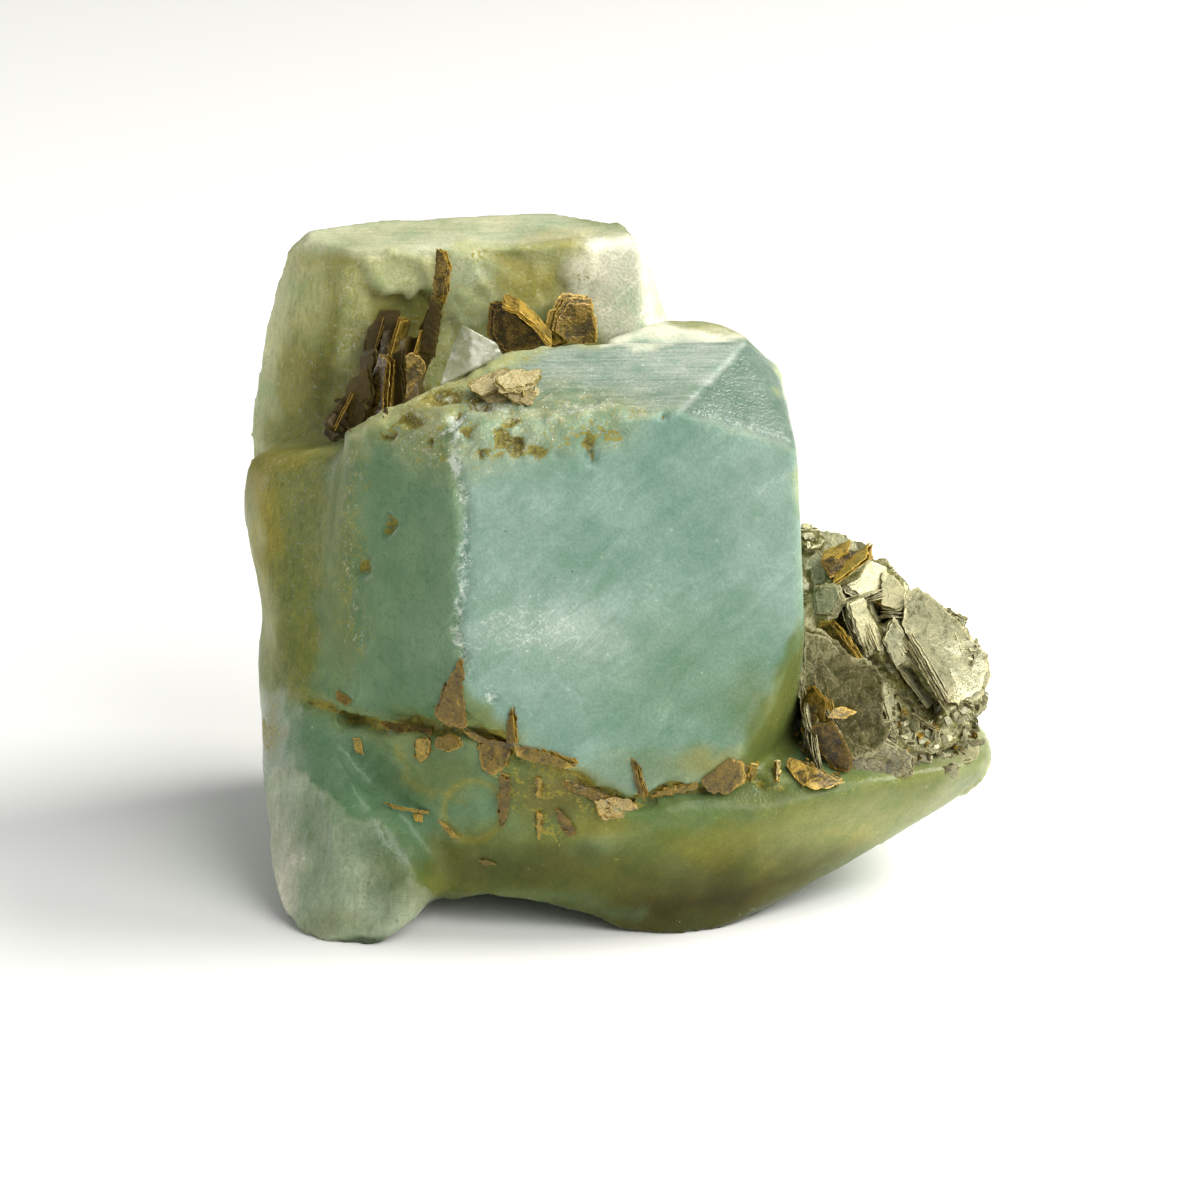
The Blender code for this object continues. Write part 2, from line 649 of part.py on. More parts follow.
POCKET_SHEETS = [
    (70, 8, (-20.4, 1.0, 42.6), [
        (-18.9, 46.9), (-19.2, 45.1), (-19.8, 42.8), (-20.3, 40.5), (-20.9, 41.3), (-20.8, 43.2),
        (-19.8, 45.2)], 0.9, 1),
    (10, 8, (-20.8, 5.8, 45.1), [
        (-21.3, 46.6), (-19.2, 47.6), (-18.7, 45.2), (-19.4, 41.0), (-21.6, 41.0), (-21.8, 45.0)],
        1.2, 2),
    (-20, 10, (-17.3, 1.0, 44.2), [
        (-17.2, 45.4), (-16.4, 44.2), (-16.9, 42.0), (-17.9, 42.0), (-18.3, 44.8)], 1.0, 2),
    (30, 20, (-22.7, 1.0, 41.4), [
        (-24.3, 39.5), (-24.8, 40.2), (-23.1, 42.0), (-21.7, 42.6), (-20.9, 41.6), (-21.9, 39.8),
        (-23.3, 39.0)], 1.4, 2),
    (10, 4, (-16.1, 4.8, 46.1), [
        (-15.7, 48.2), (-15.6, 47.4), (-15.8, 43.7), (-16.5, 41.9), (-17.4, 42.4), (-16.7, 46.6)],
        1.6, 2),
]
POCKET_BOOKS = [
    ((-19.1, 3.5, 44.1), 74, 10, 3, 4.6, 7.0, 1.1, 2),
    ((-17.9, 4.8, 43.6), 62, 6, 0, 3.6, 6.4, 0.9, 2),
]
POCKET_CORE = [
    (-22.5, 1.0, 38.6), (-22.8, 6.5, 39.0), (-16.0, 6.5, 40.0), (-16.5, 0.5, 40.0),
    (-20.5, 3.0, 43.0), (-18.0, 5.5, 43.8), (-17.0, 3.0, 42.6),
]
TALL_BLADE = [
    (20, 4, (-15.0, 6.3, 50.3), [
        (-15.3, 53.0), (-14.8, 53.1), (-14.3, 51.6), (-14.6, 49.0), (-15.0, 44.0), (-15.9, 44.0),
        (-15.8, 48.6), (-15.5, 50.7)], 1.3, 2),
]
MICA_FAN = [
    (-24, 22, (-8.5, 4.0, 46.9), [
        (-10.8, 48.5), (-9.5, 48.7), (-7.7, 47.7), (-5.9, 45.9), (-7.4, 44.0), (-10.0, 43.6),
        (-11.0, 46.0)], 1.3, 3),
]
SQUARE_BOOK = [
    (-6, 4, (-3.4, 6.0, 47.1), [
        (-4.2, 48.6), (-3.6, 49.1), (-2.1, 49.1), (-1.6, 44.6), (-3.8, 44.2), (-5.1, 44.8)], 1.4, 3),
]
MICA_FLAKES = [
    (-15, 70, (-9.7, -11.2, 48.6), [
        (-12.2, 48.4), (-10.6, 48.9), (-6.6, 49.2), (-6.6, 48.7), (-9.7, 47.8), (-11.8, 47.9)],
        0.9, 2),
    (10, 66, (-8.0, -13.4, 47.9), [
        (-9.6, 48.4), (-7.2, 48.4), (-6.5, 48.0), (-7.2, 47.4), (-9.0, 47.4)], 0.9, 1),
]
QUARTZ_CORNERS = [
    (-12.9, -7.6, 51.4), (-12.1, -8.0, 51.1), (-10.0, -7.6, 49.8), (-9.3, -8.0, 48.4),
    (-9.8, -9.2, 47.0), (-12.3, -10.4, 46.2), (-14.9, -10.2, 46.4), (-14.4, -9.4, 48.0),
    (-13.8, -8.6, 49.5), (-10.4, -5.8, 47.2), (-14.0, -6.2, 47.0), (-13.2, -6.4, 50.0),
]

# Slivers along the seam, from left to right, and the spike on the worn edge
SEAM_LEFT = [
    (-30, 0, (-13.8, -20.3, 17.7), [
        (-15.4, 18.5), (-12.9, 19.0), (-12.7, 17.7), (-14.3, 16.4), (-15.4, 16.8)], 2.0, 2),
]
SEAM_MIDDLE = [
    (-8, 0, (-9.9, -21.4, 17.5), [
        (-11.2, 18.9), (-8.7, 19.0), (-8.1, 17.8), (-9.1, 15.8), (-10.4, 15.6), (-11.4, 17.3)], 2.2, 2),
    (-8, -5, (-9.3, -20.7, 13.6), [
        (-10.0, 16.4), (-8.7, 16.5), (-8.6, 13.7), (-9.3, 10.8), (-9.9, 11.2), (-9.9, 13.6)], 1.6, 1),
    (0, 40, (-5.4, -21.5, 17.8), [
        (-9.4, 18.9), (-7.2, 18.8), (-2.9, 17.2), (-3.3, 16.7), (-6.4, 17.3), (-9.4, 17.8)], 1.4, 1),
]
SEAM_RIGHT = [
    (0, 10, (-0.5, -21.2, 14.4), [
        (-2.2, 14.9), (-1.0, 15.7), (1.0, 15.4), (1.1, 14.1), (-0.5, 13.2), (-2.0, 13.7)], 1.8, 2),
]
SEAM_NEEDLE = [
    (0, 0, (1.9, -21.5, 16.0), [
        (1.5, 17.9), (1.8, 17.4), (2.6, 14.3), (2.0, 13.4), (1.6, 14.1), (1.5, 16.1)], 1.6, 1),
]
SEAM_CLUMP = [
    (10, 10, (8.9, -20.0, 15.2), [
        (6.9, 15.2), (8.1, 16.4), (10.2, 16.6), (10.9, 15.2), (10.4, 13.6), (8.4, 13.5), (7.0, 14.2)],
        2.0, 3),
    (25, 10, (10.6, -18.9, 15.8), [
        (9.9, 16.7), (10.8, 17.0), (11.4, 15.7), (11.1, 14.3), (10.0, 14.7)], 2.0, 2),
]
SPIKE_CORNERS = [
    (-13.7, -20.6, 26.8), (-13.3, -21.5, 26.0), (-15.8, -19.0, 21.2), (-15.4, -20.4, 20.4),
    (-12.7, -22.1, 20.6), (-12.6, -21.2, 20.8), (-14.2, -21.3, 19.6),
]


def cut_sheets(entries, seed):
    """Books of leaves from their outlines. Each leaf is a little smaller or out of line."""
    rng = random.Random(seed)
    sheets = []
    for azimuth, elevation, through, points, thick, leaves in entries:
        face = plane(azimuth, elevation, through)
        rim = [Vector(point) for point in outline(face, points)]
        middle = sum(rim, Vector()) / len(rim)
        inward = -Vector(face[0])
        leaf = thick / leaves
        for index in range(leaves):
            size = 1.0 if index == 0 else rng.uniform(0.84, 0.97)
            slip = Vector((rng.uniform(-0.2, 0.2), 0, rng.uniform(-0.2, 0.2))) * min(index, 1)
            moved = middle + slip + inward * index * leaf
            near_side = [moved + (point - middle) * size for point in rim]
            far_side = [point + inward * (leaf + LEAF_OVERLAP) for point in near_side]
            sheets.append([tuple(point) for point in near_side + far_side])
    return sheets


def loose_books(entries, seed):
    rng = random.Random(seed)
    sheets = []
    for centre, azimuth, elevation, turn, width, height, thick, leaves in entries:
        sheets += book(centre, azimuth, elevation, turn, width, height, thick, leaves, rng)
    return sheets


def settle(bodies):
    """Moves the whole specimen so that the middle of its bounding box is on the Z axis."""
    points = np.array([v.co for body in bodies for v in body.data.vertices])
    middle = (points.min(axis=0) + points.max(axis=0)) / 2
    for body in bodies:
        body.data.transform(Matrix.Translation((-middle[0], -middle[1], 0)))


def build_all():
    clear_scene()
    beryl = material("aquamarine", (0.27, 0.42, 0.34), 0.18, transmission=0.4)
    silver = material("silvery_mica", (0.36, 0.33, 0.22), 0.35)
    golden = material("golden_mica", (0.24, 0.17, 0.05), 0.35)
    flake = material("pale_gold_mica", (0.55, 0.44, 0.22), 0.4)
    white = material("quartz", (0.45, 0.46, 0.34), 0.2, transmission=0.5, ior=1.54)

    bodies = [build_aquamarine(beryl)]
    taken = beryl_bodies() + crust_lumps()

    def grow(name, sheets, finish_of, core=None, hollows=()):
        bodies.append(build_on(taken, name, sheets, finish_of, core, hollows))

    stack = cut_sheets(STACK_SHEETS, 11) + loose_books(STACK_BOOKS, 12)
    grow("muscovite_stack", stack, silver, STACK_CORE, [STACK_HOLLOW])
    grow("broken_mica_leaf", cut_sheets(BROKEN_MICA_LEAF, 13), golden)
    grow("quartz_wedge", [QUARTZ_CORNERS], white)
    grow("mica_flakes", cut_sheets(MICA_FLAKES, 14), flake)
    grow("square_mica_book", cut_sheets(SQUARE_BOOK, 15), golden)
    grow("mica_fan", cut_sheets(MICA_FAN, 16), golden)
    grow("tall_mica_blade", cut_sheets(TALL_BLADE, 17), golden)
    pocket = cut_sheets(POCKET_SHEETS, 18) + loose_books(POCKET_BOOKS, 19)
    grow("pocket_mica", pocket, golden, POCKET_CORE)
    grow("seam_mica_spike", [SPIKE_CORNERS], golden)
    grow("seam_mica_left", cut_sheets(SEAM_LEFT, 20), golden)
    grow("seam_mica_middle", cut_sheets(SEAM_MIDDLE, 21), golden)
    grow("seam_mica_right", cut_sheets(SEAM_RIGHT, 22), golden)
    grow("seam_mica_needle", cut_sheets(SEAM_NEEDLE, 23), golden)
    grow("seam_mica_clump", cut_sheets(SEAM_CLUMP, 24), golden)
    settle(bodies)


build_all()
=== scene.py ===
"""Looks of the aquamarine specimen: its beryl, its mica books, the quartz wedge and the stage.

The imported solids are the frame. The beryl is a finely remeshed copy of its solid with
striations, pits, chips and a crust worked into it. The mica is rebuilt as thin torn
leaves on the places where the solids stand.

Lengths are in millimetres here, and in metres in the settings, the stage and the finished
meshes. Many places are given as they are seen in the photograph, in pixels of its
1200 x 1200 frame, and are carried along the line of sight onto the solids. Outlines are
texts of x,y pixels.
"""

import math

import bmesh
import bpy
import numpy as np
from bpy.props import FloatProperty, FloatVectorProperty, PointerProperty
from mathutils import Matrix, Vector
from mathutils.bvhtree import BVHTree


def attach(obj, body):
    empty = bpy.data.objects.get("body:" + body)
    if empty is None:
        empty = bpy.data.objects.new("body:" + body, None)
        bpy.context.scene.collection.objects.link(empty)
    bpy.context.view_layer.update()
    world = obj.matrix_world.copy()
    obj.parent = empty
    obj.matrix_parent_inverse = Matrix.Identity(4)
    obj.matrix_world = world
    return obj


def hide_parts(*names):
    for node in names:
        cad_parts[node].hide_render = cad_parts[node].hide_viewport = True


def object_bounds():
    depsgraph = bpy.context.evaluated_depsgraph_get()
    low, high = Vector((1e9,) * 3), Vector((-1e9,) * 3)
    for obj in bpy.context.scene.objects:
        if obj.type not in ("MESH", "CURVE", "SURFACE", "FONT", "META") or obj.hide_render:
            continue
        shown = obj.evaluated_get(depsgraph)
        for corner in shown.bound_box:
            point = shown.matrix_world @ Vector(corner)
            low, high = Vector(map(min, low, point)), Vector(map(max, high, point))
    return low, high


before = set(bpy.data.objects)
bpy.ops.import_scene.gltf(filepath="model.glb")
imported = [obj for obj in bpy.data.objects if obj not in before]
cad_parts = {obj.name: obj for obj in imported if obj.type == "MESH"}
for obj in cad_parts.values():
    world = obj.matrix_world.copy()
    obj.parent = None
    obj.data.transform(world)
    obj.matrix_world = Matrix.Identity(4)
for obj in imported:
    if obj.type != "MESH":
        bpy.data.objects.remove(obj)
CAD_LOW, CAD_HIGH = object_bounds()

bl_info = {
    "name": "Aquamarine specimen",
    "version": (1, 0, 0),
    "blender": (4, 5, 0),
    "location": "3D View > Sidebar > Specimen",
    "description": "Dresses the solids of an aquamarine specimen with beryl, mica and quartz",
    "category": "Object",
}

MM = 0.001
BOX_LOW, BOX_HIGH = np.array(CAD_LOW) / MM, np.array(CAD_HIGH) / MM
BOX_MARGIN = 0.01

PHOTO_SIZE = 1200
VIEW_TARGET = np.array((-1.55, -4.02, 25.5))
VIEW_ELEVATION = math.radians(20)
VIEW_DISTANCE = 500.0
PIXEL = 0.085                      # width of a photo pixel at the target

LOOK = np.array((0.0, math.cos(VIEW_ELEVATION), -math.sin(VIEW_ELEVATION)))
UP = np.array((0.0, math.sin(VIEW_ELEVATION), math.cos(VIEW_ELEVATION)))
RIGHT = np.array((1.0, 0.0, 0.0))
EYE = VIEW_TARGET - LOOK * VIEW_DISTANCE

WANDER = 26                        # how widely, in pixels, the edges of a mask stray
TEAR_STEP = 0.3                    # between the points of a torn edge
ANCHOR_REACH, ANCHOR_STEP = 25, 4  # how far, in pixels, a missing surface is looked for
CRUMB_TRIES = 8                    # for each crumb that has to land on the specimen
SCRAP_REST = 0.8                   # share of what lies under a scrap that it covers
SEAM_SHADE = 0.6                   # of the tones given for the slivers in the seam
# A leaf's rings of points: their share of its size, and how near the rim they count as
LEAF_RINGS = ((1.0, 1.0), (0.94, 0.55), (0.72, 0.1), (0.4, 0.0))
BERYL_MASKS = ("haze", "stain", "grain", "streak", "grooved", "cracked", "clear", "speck")


# Settings

def swatch(name, description, *screen):
    """A colour setting. Its default is given by the values that a screen shows it with."""
    return FloatVectorProperty(
        name=name, description=description, default=tuple((part / 255) ** 2.2 for part in screen),
        size=3, subtype="COLOR")


def power(name, description, watts):
    return FloatProperty(
        name=name, description=description, default=watts, min=0.0, unit="POWER")


class BerylSettings(bpy.types.PropertyGroup):
    grain: FloatProperty(
        name="Grain", description="Size of the beryl's surface mesh", default=0.39 * MM,
        min=0.2 * MM, unit="LENGTH", precision=5)
    milky: swatch("Milky blue", "Cloudy veils in the front crystal", 166, 184, 173)
    teal: swatch("Teal", "Clearer body of the front crystal", 124, 154, 139)
    deep: swatch("Deep green", "Left face and base", 104, 134, 99)
    # Sky is a painted reflection of the bright surroundings
    sky: swatch("Sky", "Bluish top face of the front crystal", 138, 154, 138)
    # Pale is also laid as painted glow along the left outline and towards the wing's right end
    pale: swatch("Pale green", "Top and right of the back crystal, and the wing", 194, 199, 150)
    # Cream is also laid as painted glow on the back crystal's right side and as a painted highlight
    # down the column's left edge
    cream: swatch("Cream", "Bright edges and ledges", 228, 229, 206)
    olive: swatch("Olive", "Shaded left flank and bottom", 112, 115, 42)
    moss: swatch("Moss", "Darkest olive under the base", 54, 50, 2)
    tan: swatch("Tan", "Earthy film on the back crystal", 150, 140, 56)
    rust: swatch("Rust", "Iron stain in pits and seams", 108, 88, 34)
    # Frost is also drawn as a painted highlight along the chamfer's edge
    frost: swatch("Frost", "Crushed white edges and sparkling cracks", 202, 212, 202)
    yellow: swatch("Yellow", "Stain in the hollow of the back crystal", 196, 184, 96)
    glass: swatch("Glassy green", "Column at the lower left", 190, 204, 172)


class MicaSettings(bpy.types.PropertyGroup):
    silver: swatch("Silver", "Faces of the silvery sheets", 147, 148, 118)
    silver_edge: swatch("Silver sheet's edge", "Torn rims of the silvery sheets", 198, 190, 148)
    grey: swatch("Grey green", "Thick sheets that the beryl shows through", 108, 107, 54)
    # The rims' gold is partly the stain, partly painted glow of light through the thin edges
    gold: swatch("Gold", "Rims of the iron-stained sheets", 196, 160, 70)
    brown: swatch("Brown", "Faces of the iron-stained sheets", 86, 72, 16)
    amber: swatch("Amber", "Thin stained slivers in the seam", 132, 114, 32)
    # Dark is painted shade: it darkens the books and the core deep in the pocket's recess
    dark: swatch("Dark", "Books deep in the pocket", 80, 64, 16)
    flake: swatch("Pale gold", "Loose flakes on the front crystal's top", 212, 198, 150)


class QuartzSettings(bpy.types.PropertyGroup):
    white: swatch("White", "Milky quartz", 168, 172, 138)


class StageSettings(bpy.types.PropertyGroup):
    floor: FloatVectorProperty(
        name="Floor", description="Colour of the floor", default=(0.93, 0.93, 0.93), size=3,
        subtype="COLOR")
    daylight: FloatProperty(
        name="Daylight", description="Strength of the even light all round", default=0.32,
        min=0.0)
    key: power("Key", "Power of the lamp at the upper right", 4.2)
    rim: power("Rim", "Power of the low lamp at the back left", 0.6)
    fill: power("Fill", "Power of the soft lamp above the front", 3.9)


SETTINGS = {
    "beryl": BerylSettings, "mica": MicaSettings, "quartz": QuartzSettings,
    "stage": StageSettings,
}


# Shaders

class Value:
    """A socket in a material, so that its maths reads as Python."""

    def __init__(self, finish, socket):
        self.finish = finish
        self.socket = socket

    def __add__(self, other):
        return self.finish.maths("ADD", self, other)

    def __sub__(self, other):
        return self.finish.maths("SUBTRACT", self, other)

    def __rsub__(self, other):
        return self.finish.maths("SUBTRACT", other, self)

    def __mul__(self, other):
        return self.finish.maths("MULTIPLY", self, other)

    __radd__ = __add__
    __rmul__ = __mul__


class Finish:
    """A material under construction."""

    def __init__(self, name):
        self.material = bpy.data.materials.new(name)
        self.material.use_nodes = True
        self.tree = self.material.node_tree
        self.tree.nodes.clear()
        here = self.node("ShaderNodeTexCoord", out="Object")
        self.place = self.vector("MULTIPLY", here, (1 / MM, 1 / MM, 1 / MM))

    def node(self, kind, settings=None, values=None, out=0):
        """One node. Settings are set first, then the values or links of its sockets."""
        made = self.tree.nodes.new(kind)
        for name, setting in (settings or {}).items():
            setattr(made, name, setting)
        for name, value in (values or {}).items():
            if isinstance(value, Value):
                self.tree.links.new(value.socket, made.inputs[name])
            else:
                made.inputs[name].default_value = value
        return Value(self, made.outputs[out])

    def maths(self, operation, first, second=0.0):
        return self.node("ShaderNodeMath", {"operation": operation}, {0: first, 1: second})

    def vector(self, operation, first, second):
        return self.node("ShaderNodeVectorMath", {"operation": operation}, {0: first, 1: second})

    def between(self, value, low, high, start=0.0, end=1.0):
        """Value's place between low and high, smoothly, as a number from start to end."""
        return self.node(
            "ShaderNodeMapRange", {"interpolation_type": "SMOOTHSTEP"},
            {"Value": value, "From Min": low, "From Max": high, "To Min": start, "To Max": end})

    def mixed(self, amount, first, second, how="MIX"):
        """A colour between two others. A plain colour is given as three numbers."""
        first, second = (
            c if isinstance(c, Value) else (c[0], c[1], c[2], 1.0) for c in (first, second))
        return self.node(
            "ShaderNodeMix", {"data_type": "RGBA", "blend_type": how},
            {0: amount, 6: first, 7: second}, out=2)

    def masked(self, name, out="Fac"):
        """A number, or a colour, that the mesh carries at its points."""
        return self.node("ShaderNodeAttribute", {"attribute_name": name}, out=out)

    def stretched(self, x, y, z):
        return self.vector("MULTIPLY", self.place, (x, y, z))

    def slanted(self, turn, size):
        """The place along axes turned about the depth, shrunk by size along each."""
        return self.node(
            "ShaderNodeMapping", {"vector_type": "TEXTURE"},
            {"Vector": self.place, "Rotation": (0.0, turn, 0.0), "Scale": size})

    def near(self, value, level, reach):
        """1 where a number lies at a level, and 0 from reach away."""
        return self.between(
            self.maths("ABSOLUTE", self.maths("SUBTRACT", value, level)), reach, 0.0)

    def clouds(self, size, detail, rough, warp=0.0, place=None):
        """Noise from 0 to 1 whose clumps are about size millimetres wide."""
        return self.node(
            "ShaderNodeTexNoise", values={
                "Vector": place or self.place, "Scale": 1 / size, "Detail": detail,
                "Roughness": rough, "Distortion": warp})

    def cells(self, size):
        """How far the middle is, in cells, of cells about size millimetres apart."""
        return self.node(
            "ShaderNodeTexVoronoi", values={"Vector": self.place, "Scale": 1 / size},
            out="Distance")

    def bump(self, height, depth):
        """A bump whose full height is depth millimetres."""
        return self.node(
            "ShaderNodeBump", values={"Height": height, "Distance": depth * MM, "Strength": 1.0},
            out="Normal")

    def surface(self, sockets):
        return self.node("ShaderNodeBsdfPrincipled", values=sockets)

    def done(self, shader, absorbs=None, density=0.0):
        values = {"Surface": shader}
        if absorbs:
            values["Volume"] = self.node(
                "ShaderNodeVolumeAbsorption", values={"Color": (*absorbs, 1.0), "Density": density})
        out = self.tree.nodes.new("ShaderNodeOutputMaterial")
        for name, value in values.items():
            self.tree.links.new(value.socket, out.inputs[name])
        return self.material


def beryl_finish(beryl):
    """Cloudy beryl. The mesh carries its body colour and where it is hazy, stained or clear."""
    f = Finish("cloudy_beryl")
    between = f.between
    colour = f.masked("body", "Color")
    haze, stain, grain, streak, grooved, cracked, clear, speck = (
        f.masked(name) for name in BERYL_MASKS)

    soft = f.clouds(4.5, 2.0, 0.6)
    wisp = f.clouds(1.5, 3.0, 0.66, 1.4)
    fine = f.clouds(0.26, 1.0, 0.6)
    upright = f.clouds(1.0, 2.0, 0.65, place=f.stretched(3.0, 3.0, 0.4))
    level = f.clouds(1.0, 2.0, 0.7, place=f.stretched(0.16, 2.6, 2.6))
    slanted = f.clouds(1.0, 2.0, 0.6, 0.6, place=f.slanted(-0.7, (7.0, 1.8, 1.8)))

    for mask, share, tint in (
            (between(soft * 0.5 + wisp * 0.25 + slanted * 0.25, 0.47, 0.62), 0.7,
             (1.32, 1.24, 1.28)),
            (between(soft * 0.4 + wisp * 0.3 + slanted * 0.3, 0.5, 0.38), 0.6,
             (0.66, 0.82, 0.72)),
            (f.near(slanted, 0.5, 0.02) * between(soft + haze, 0.45, 0.9), 0.7,
             (1.6, 1.45, 1.5)),
            (between(upright, 0.52, 0.72) * streak, 0.6, (1.4, 1.35, 1.2)),
            (between(upright, 0.5, 0.32) * streak, 0.5, (0.55, 0.55, 0.36)),
            (between(level, 0.5, 0.68) * grooved, 0.6, (1.4, 1.32, 1.34)),
            (between(level, 0.5, 0.34) * grooved, 0.5, (0.5, 0.68, 0.66)),
            (f.near(level, 0.46, 0.014) * between(soft, 0.42, 0.55) * cracked, 0.75,
             (0.3, 0.32, 0.24)),
            (between(fine, 0.66, 0.36), 0.22, (0.5, 0.5, 0.42))):
        colour = f.mixed(mask * share, colour, tint, "MULTIPLY")

    dusty = between(fine * 0.6 + upright * 0.4, 0.46, 0.38) * grain
    patchy = between(stain + (wisp - 0.5) * 1.5 + (fine - 0.5) * 0.9, 0.42, 0.6)
    rusty = f.mixed(between(wisp + fine, 0.85, 1.15), beryl.rust, beryl.tan)
    crushed = between(
        haze + (wisp - 0.5) * 1.8 + (slanted - 0.5) * 1.2 + (fine - 0.5) * 0.7, 0.5, 1.0)
    for mask, share, film in (
            (between(fine + (wisp - 0.5) * 0.5, 0.5, 0.62) * grain, 0.7, beryl.tan),
            (dusty * between(wisp, 0.44, 0.58), 0.6, beryl.cream),
            (f.near(soft, 0.52, 0.018) * grain, 0.6, beryl.tan),
            (patchy, 0.85, rusty), (crushed, 0.7, beryl.frost)):
        colour = f.mixed(mask * share, colour, film)
    # Painted glints: near-white specks in the colour that stand in for sparkles of reflected light
    painted_glints = between(f.cells(0.4), 0.2, 0.1) * between(haze + wisp + fine, 1.25, 1.6)
    colour = f.mixed(painted_glints, colour, (0.95, 0.98, 0.95))
    dots = between(f.cells(1.0), 0.11, 0.07) * between(wisp, 0.5, 0.6) * speck
    colour = f.mixed(dots, colour, (0.03, 0.028, 0.015))

    worn = crushed * 0.2 + patchy * 0.3 + streak * 0.22 + grain * 0.2
    rough = 0.24 + worn + (wisp - 0.5) * 0.12
    relief = f.bump(fine * (0.8 + haze * 1.5) + upright * streak + level * grooved * 2, 0.05)
    cloudy = f.surface({
        "Base Color": colour, "Roughness": rough, "Normal": relief, "IOR": 1.575,
        "Specular IOR Level": 0.08, "Transmission Weight": 0.15, "Subsurface Weight": 0.2,
        "Subsurface Radius": (1.0, 1.15, 1.05), "Subsurface Scale": 0.7 * MM})
    glassy = f.surface({
        "Base Color": colour, "Roughness": 0.2 + crushed * 0.3, "Normal": relief,
        "IOR": 1.575, "Specular IOR Level": 0.15, "Transmission Weight": 0.85})
    see_through = clear * (1 - crushed) * (1 - patchy)
    shader = f.node("ShaderNodeMixShader", values={0: see_through, 1: cloudy, 2: glassy})
    return f.done(shader, absorbs=(0.52, 0.8, 0.66), density=36.0)


def mica_finish(name, face, rim, dirt=0.8, gloss=0.22):
    """Layered mica. The mesh carries how near a leaf's rim a point is, and each leaf's tone."""
    f = Finish(name)
    edge = f.masked("rim")
    leaf = f.masked("leaf")
    mottle = f.clouds(1.1, 2.0, 0.65, 0.8)
    fine = f.clouds(0.2, 2.0, 0.65)
    grime = f.between(mottle + (fine - 0.5) * 0.7, 0.44, 0.28)
    colour = f.mixed(f.between(mottle + (fine - 0.5) * 0.6, 0.42, 0.7) * 0.45, face, rim)
    # Lighter rims: partly the torn edges' own colour, partly painted glow of light passing through
    # the thin edges
    colour = f.mixed(f.between(edge + (fine - 0.5) * 0.8, 0.4, 0.95), colour, rim)
    torn = f.near(mottle, 0.5, 0.016) + f.near(mottle, 0.6, 0.016)
    colour = f.mixed(torn * 0.6, colour, rim)
    colour = f.mixed(grime * dirt, colour, (0.36, 0.31, 0.15), "MULTIPLY")
    colour = f.mixed(f.between(leaf, 0.0, 0.9, 0.8, 0.0), colour, (0.26, 0.22, 0.1), "MULTIPLY")
    # Painted highlight: leaves with a high tone are mixed towards a lightened rim colour, a painted
    # flash of reflected light
    painted_flash = f.between(leaf + mottle * 0.6, 1.05, 1.35)
    colour = f.mixed(painted_flash * 0.5, colour, [min(1.0, part * 1.35) for part in rim])
    steps = [f.between(mottle, level, level + 0.02) for level in (0.5, 0.6)]
    relief = f.bump(mottle * 0.6 + fine * 0.4 + steps[0] + steps[1], 0.06)
    shader = f.surface({
        "Base Color": colour, "Roughness": gloss + fine * 0.15, "Normal": relief, "IOR": 1.58,
        "Metallic": 0.25, "Specular IOR Level": 0.4, "Coat Weight": 0.15,
        "Coat Roughness": 0.12})
    return f.done(shader)


def quartz_finish(quartz):
    f = Finish("milky_quartz")
    haze = f.clouds(1.4, 4.0, 0.6, 0.5)
    fine = f.clouds(0.25, 3.0, 0.6)
    colour = f.mixed(f.between(haze, 0.4, 0.65), quartz.white, (0.78, 0.8, 0.68))
    shader = f.surface({
        "Base Color": colour, "Roughness": 0.12 + haze * 0.2, "IOR": 1.544,
        "Normal": f.bump(haze * 0.6 + fine * 0.4, 0.04), "Transmission Weight": 0.6,
        "Subsurface Weight": 0.2, "Subsurface Radius": (1.0, 1.0, 0.9),
        "Subsurface Scale": 1.2 * MM})
    return f.done(shader)


# Places in the photograph

def path(text):
    """The corners of an outline, as (x, y) pixels."""
    return [tuple(int(part) for part in pair.split(",")) for pair in text.split()]


def sight(x, y):
    """The direction from the camera through a photo pixel."""
    half = PHOTO_SIZE / 2
    return unit(LOOK * VIEW_DISTANCE + RIGHT * (x - half) * PIXEL + UP * (half - y) * PIXEL)


def in_photo(points):
    """Photo pixels of points in millimetres, as two rows."""
    away = points - EYE
    scale = VIEW_DISTANCE / (away @ LOOK) / PIXEL
    return PHOTO_SIZE / 2 + away @ RIGHT * scale, PHOTO_SIZE / 2 - away @ UP * scale


def seen(tree, x, y):
    """Where a surface is seen at a photo pixel, as (point, normal), or None."""
    point, normal, index, distance = tree.ray_cast(Vector(EYE), Vector(sight(x, y)))
    return None if point is None else (np.array(point), np.array(normal))


def on_plane(x, y, through, normal):
    """Where the line of sight of a photo pixel meets a plane."""
    way = sight(x, y)
    return EYE + way * np.dot(through - EYE, normal) / np.dot(way, normal)


def within(x, y, outline):
    inside = False
    for (ax, ay), (bx, by) in zip(outline, outline[1:] + outline[:1]):
        if (ay > y) != (by > y) and x < (bx - ax) * (y - ay) / (by - ay) + ax:
            inside = not inside
    return inside


def tree_of(*objects):
    """What lines of sight are followed against: these meshes, in millimetres."""
    points, faces = [], []
    for one in objects:
        mesh = one.data
        start = len(points)
        points.extend(v.co / MM for v in mesh.vertices)
        faces.extend([start + i for i in p.vertices] for p in mesh.polygons)
    return BVHTree.FromPolygons(points, faces)


def solids(*names):
    return tree_of(*(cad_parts[name] for name in names))


# Directions, and repeatable noise on points

def unit(way):
    return way / np.linalg.norm(way)


def facing(azimuth, elevation):
    """The direction that a sheet faces. Azimuth 0 faces the front, 90 the right."""
    turn, lift = math.radians(azimuth), math.radians(elevation)
    return np.array((
        math.sin(turn) * math.cos(lift), -math.cos(turn) * math.cos(lift), math.sin(lift)))


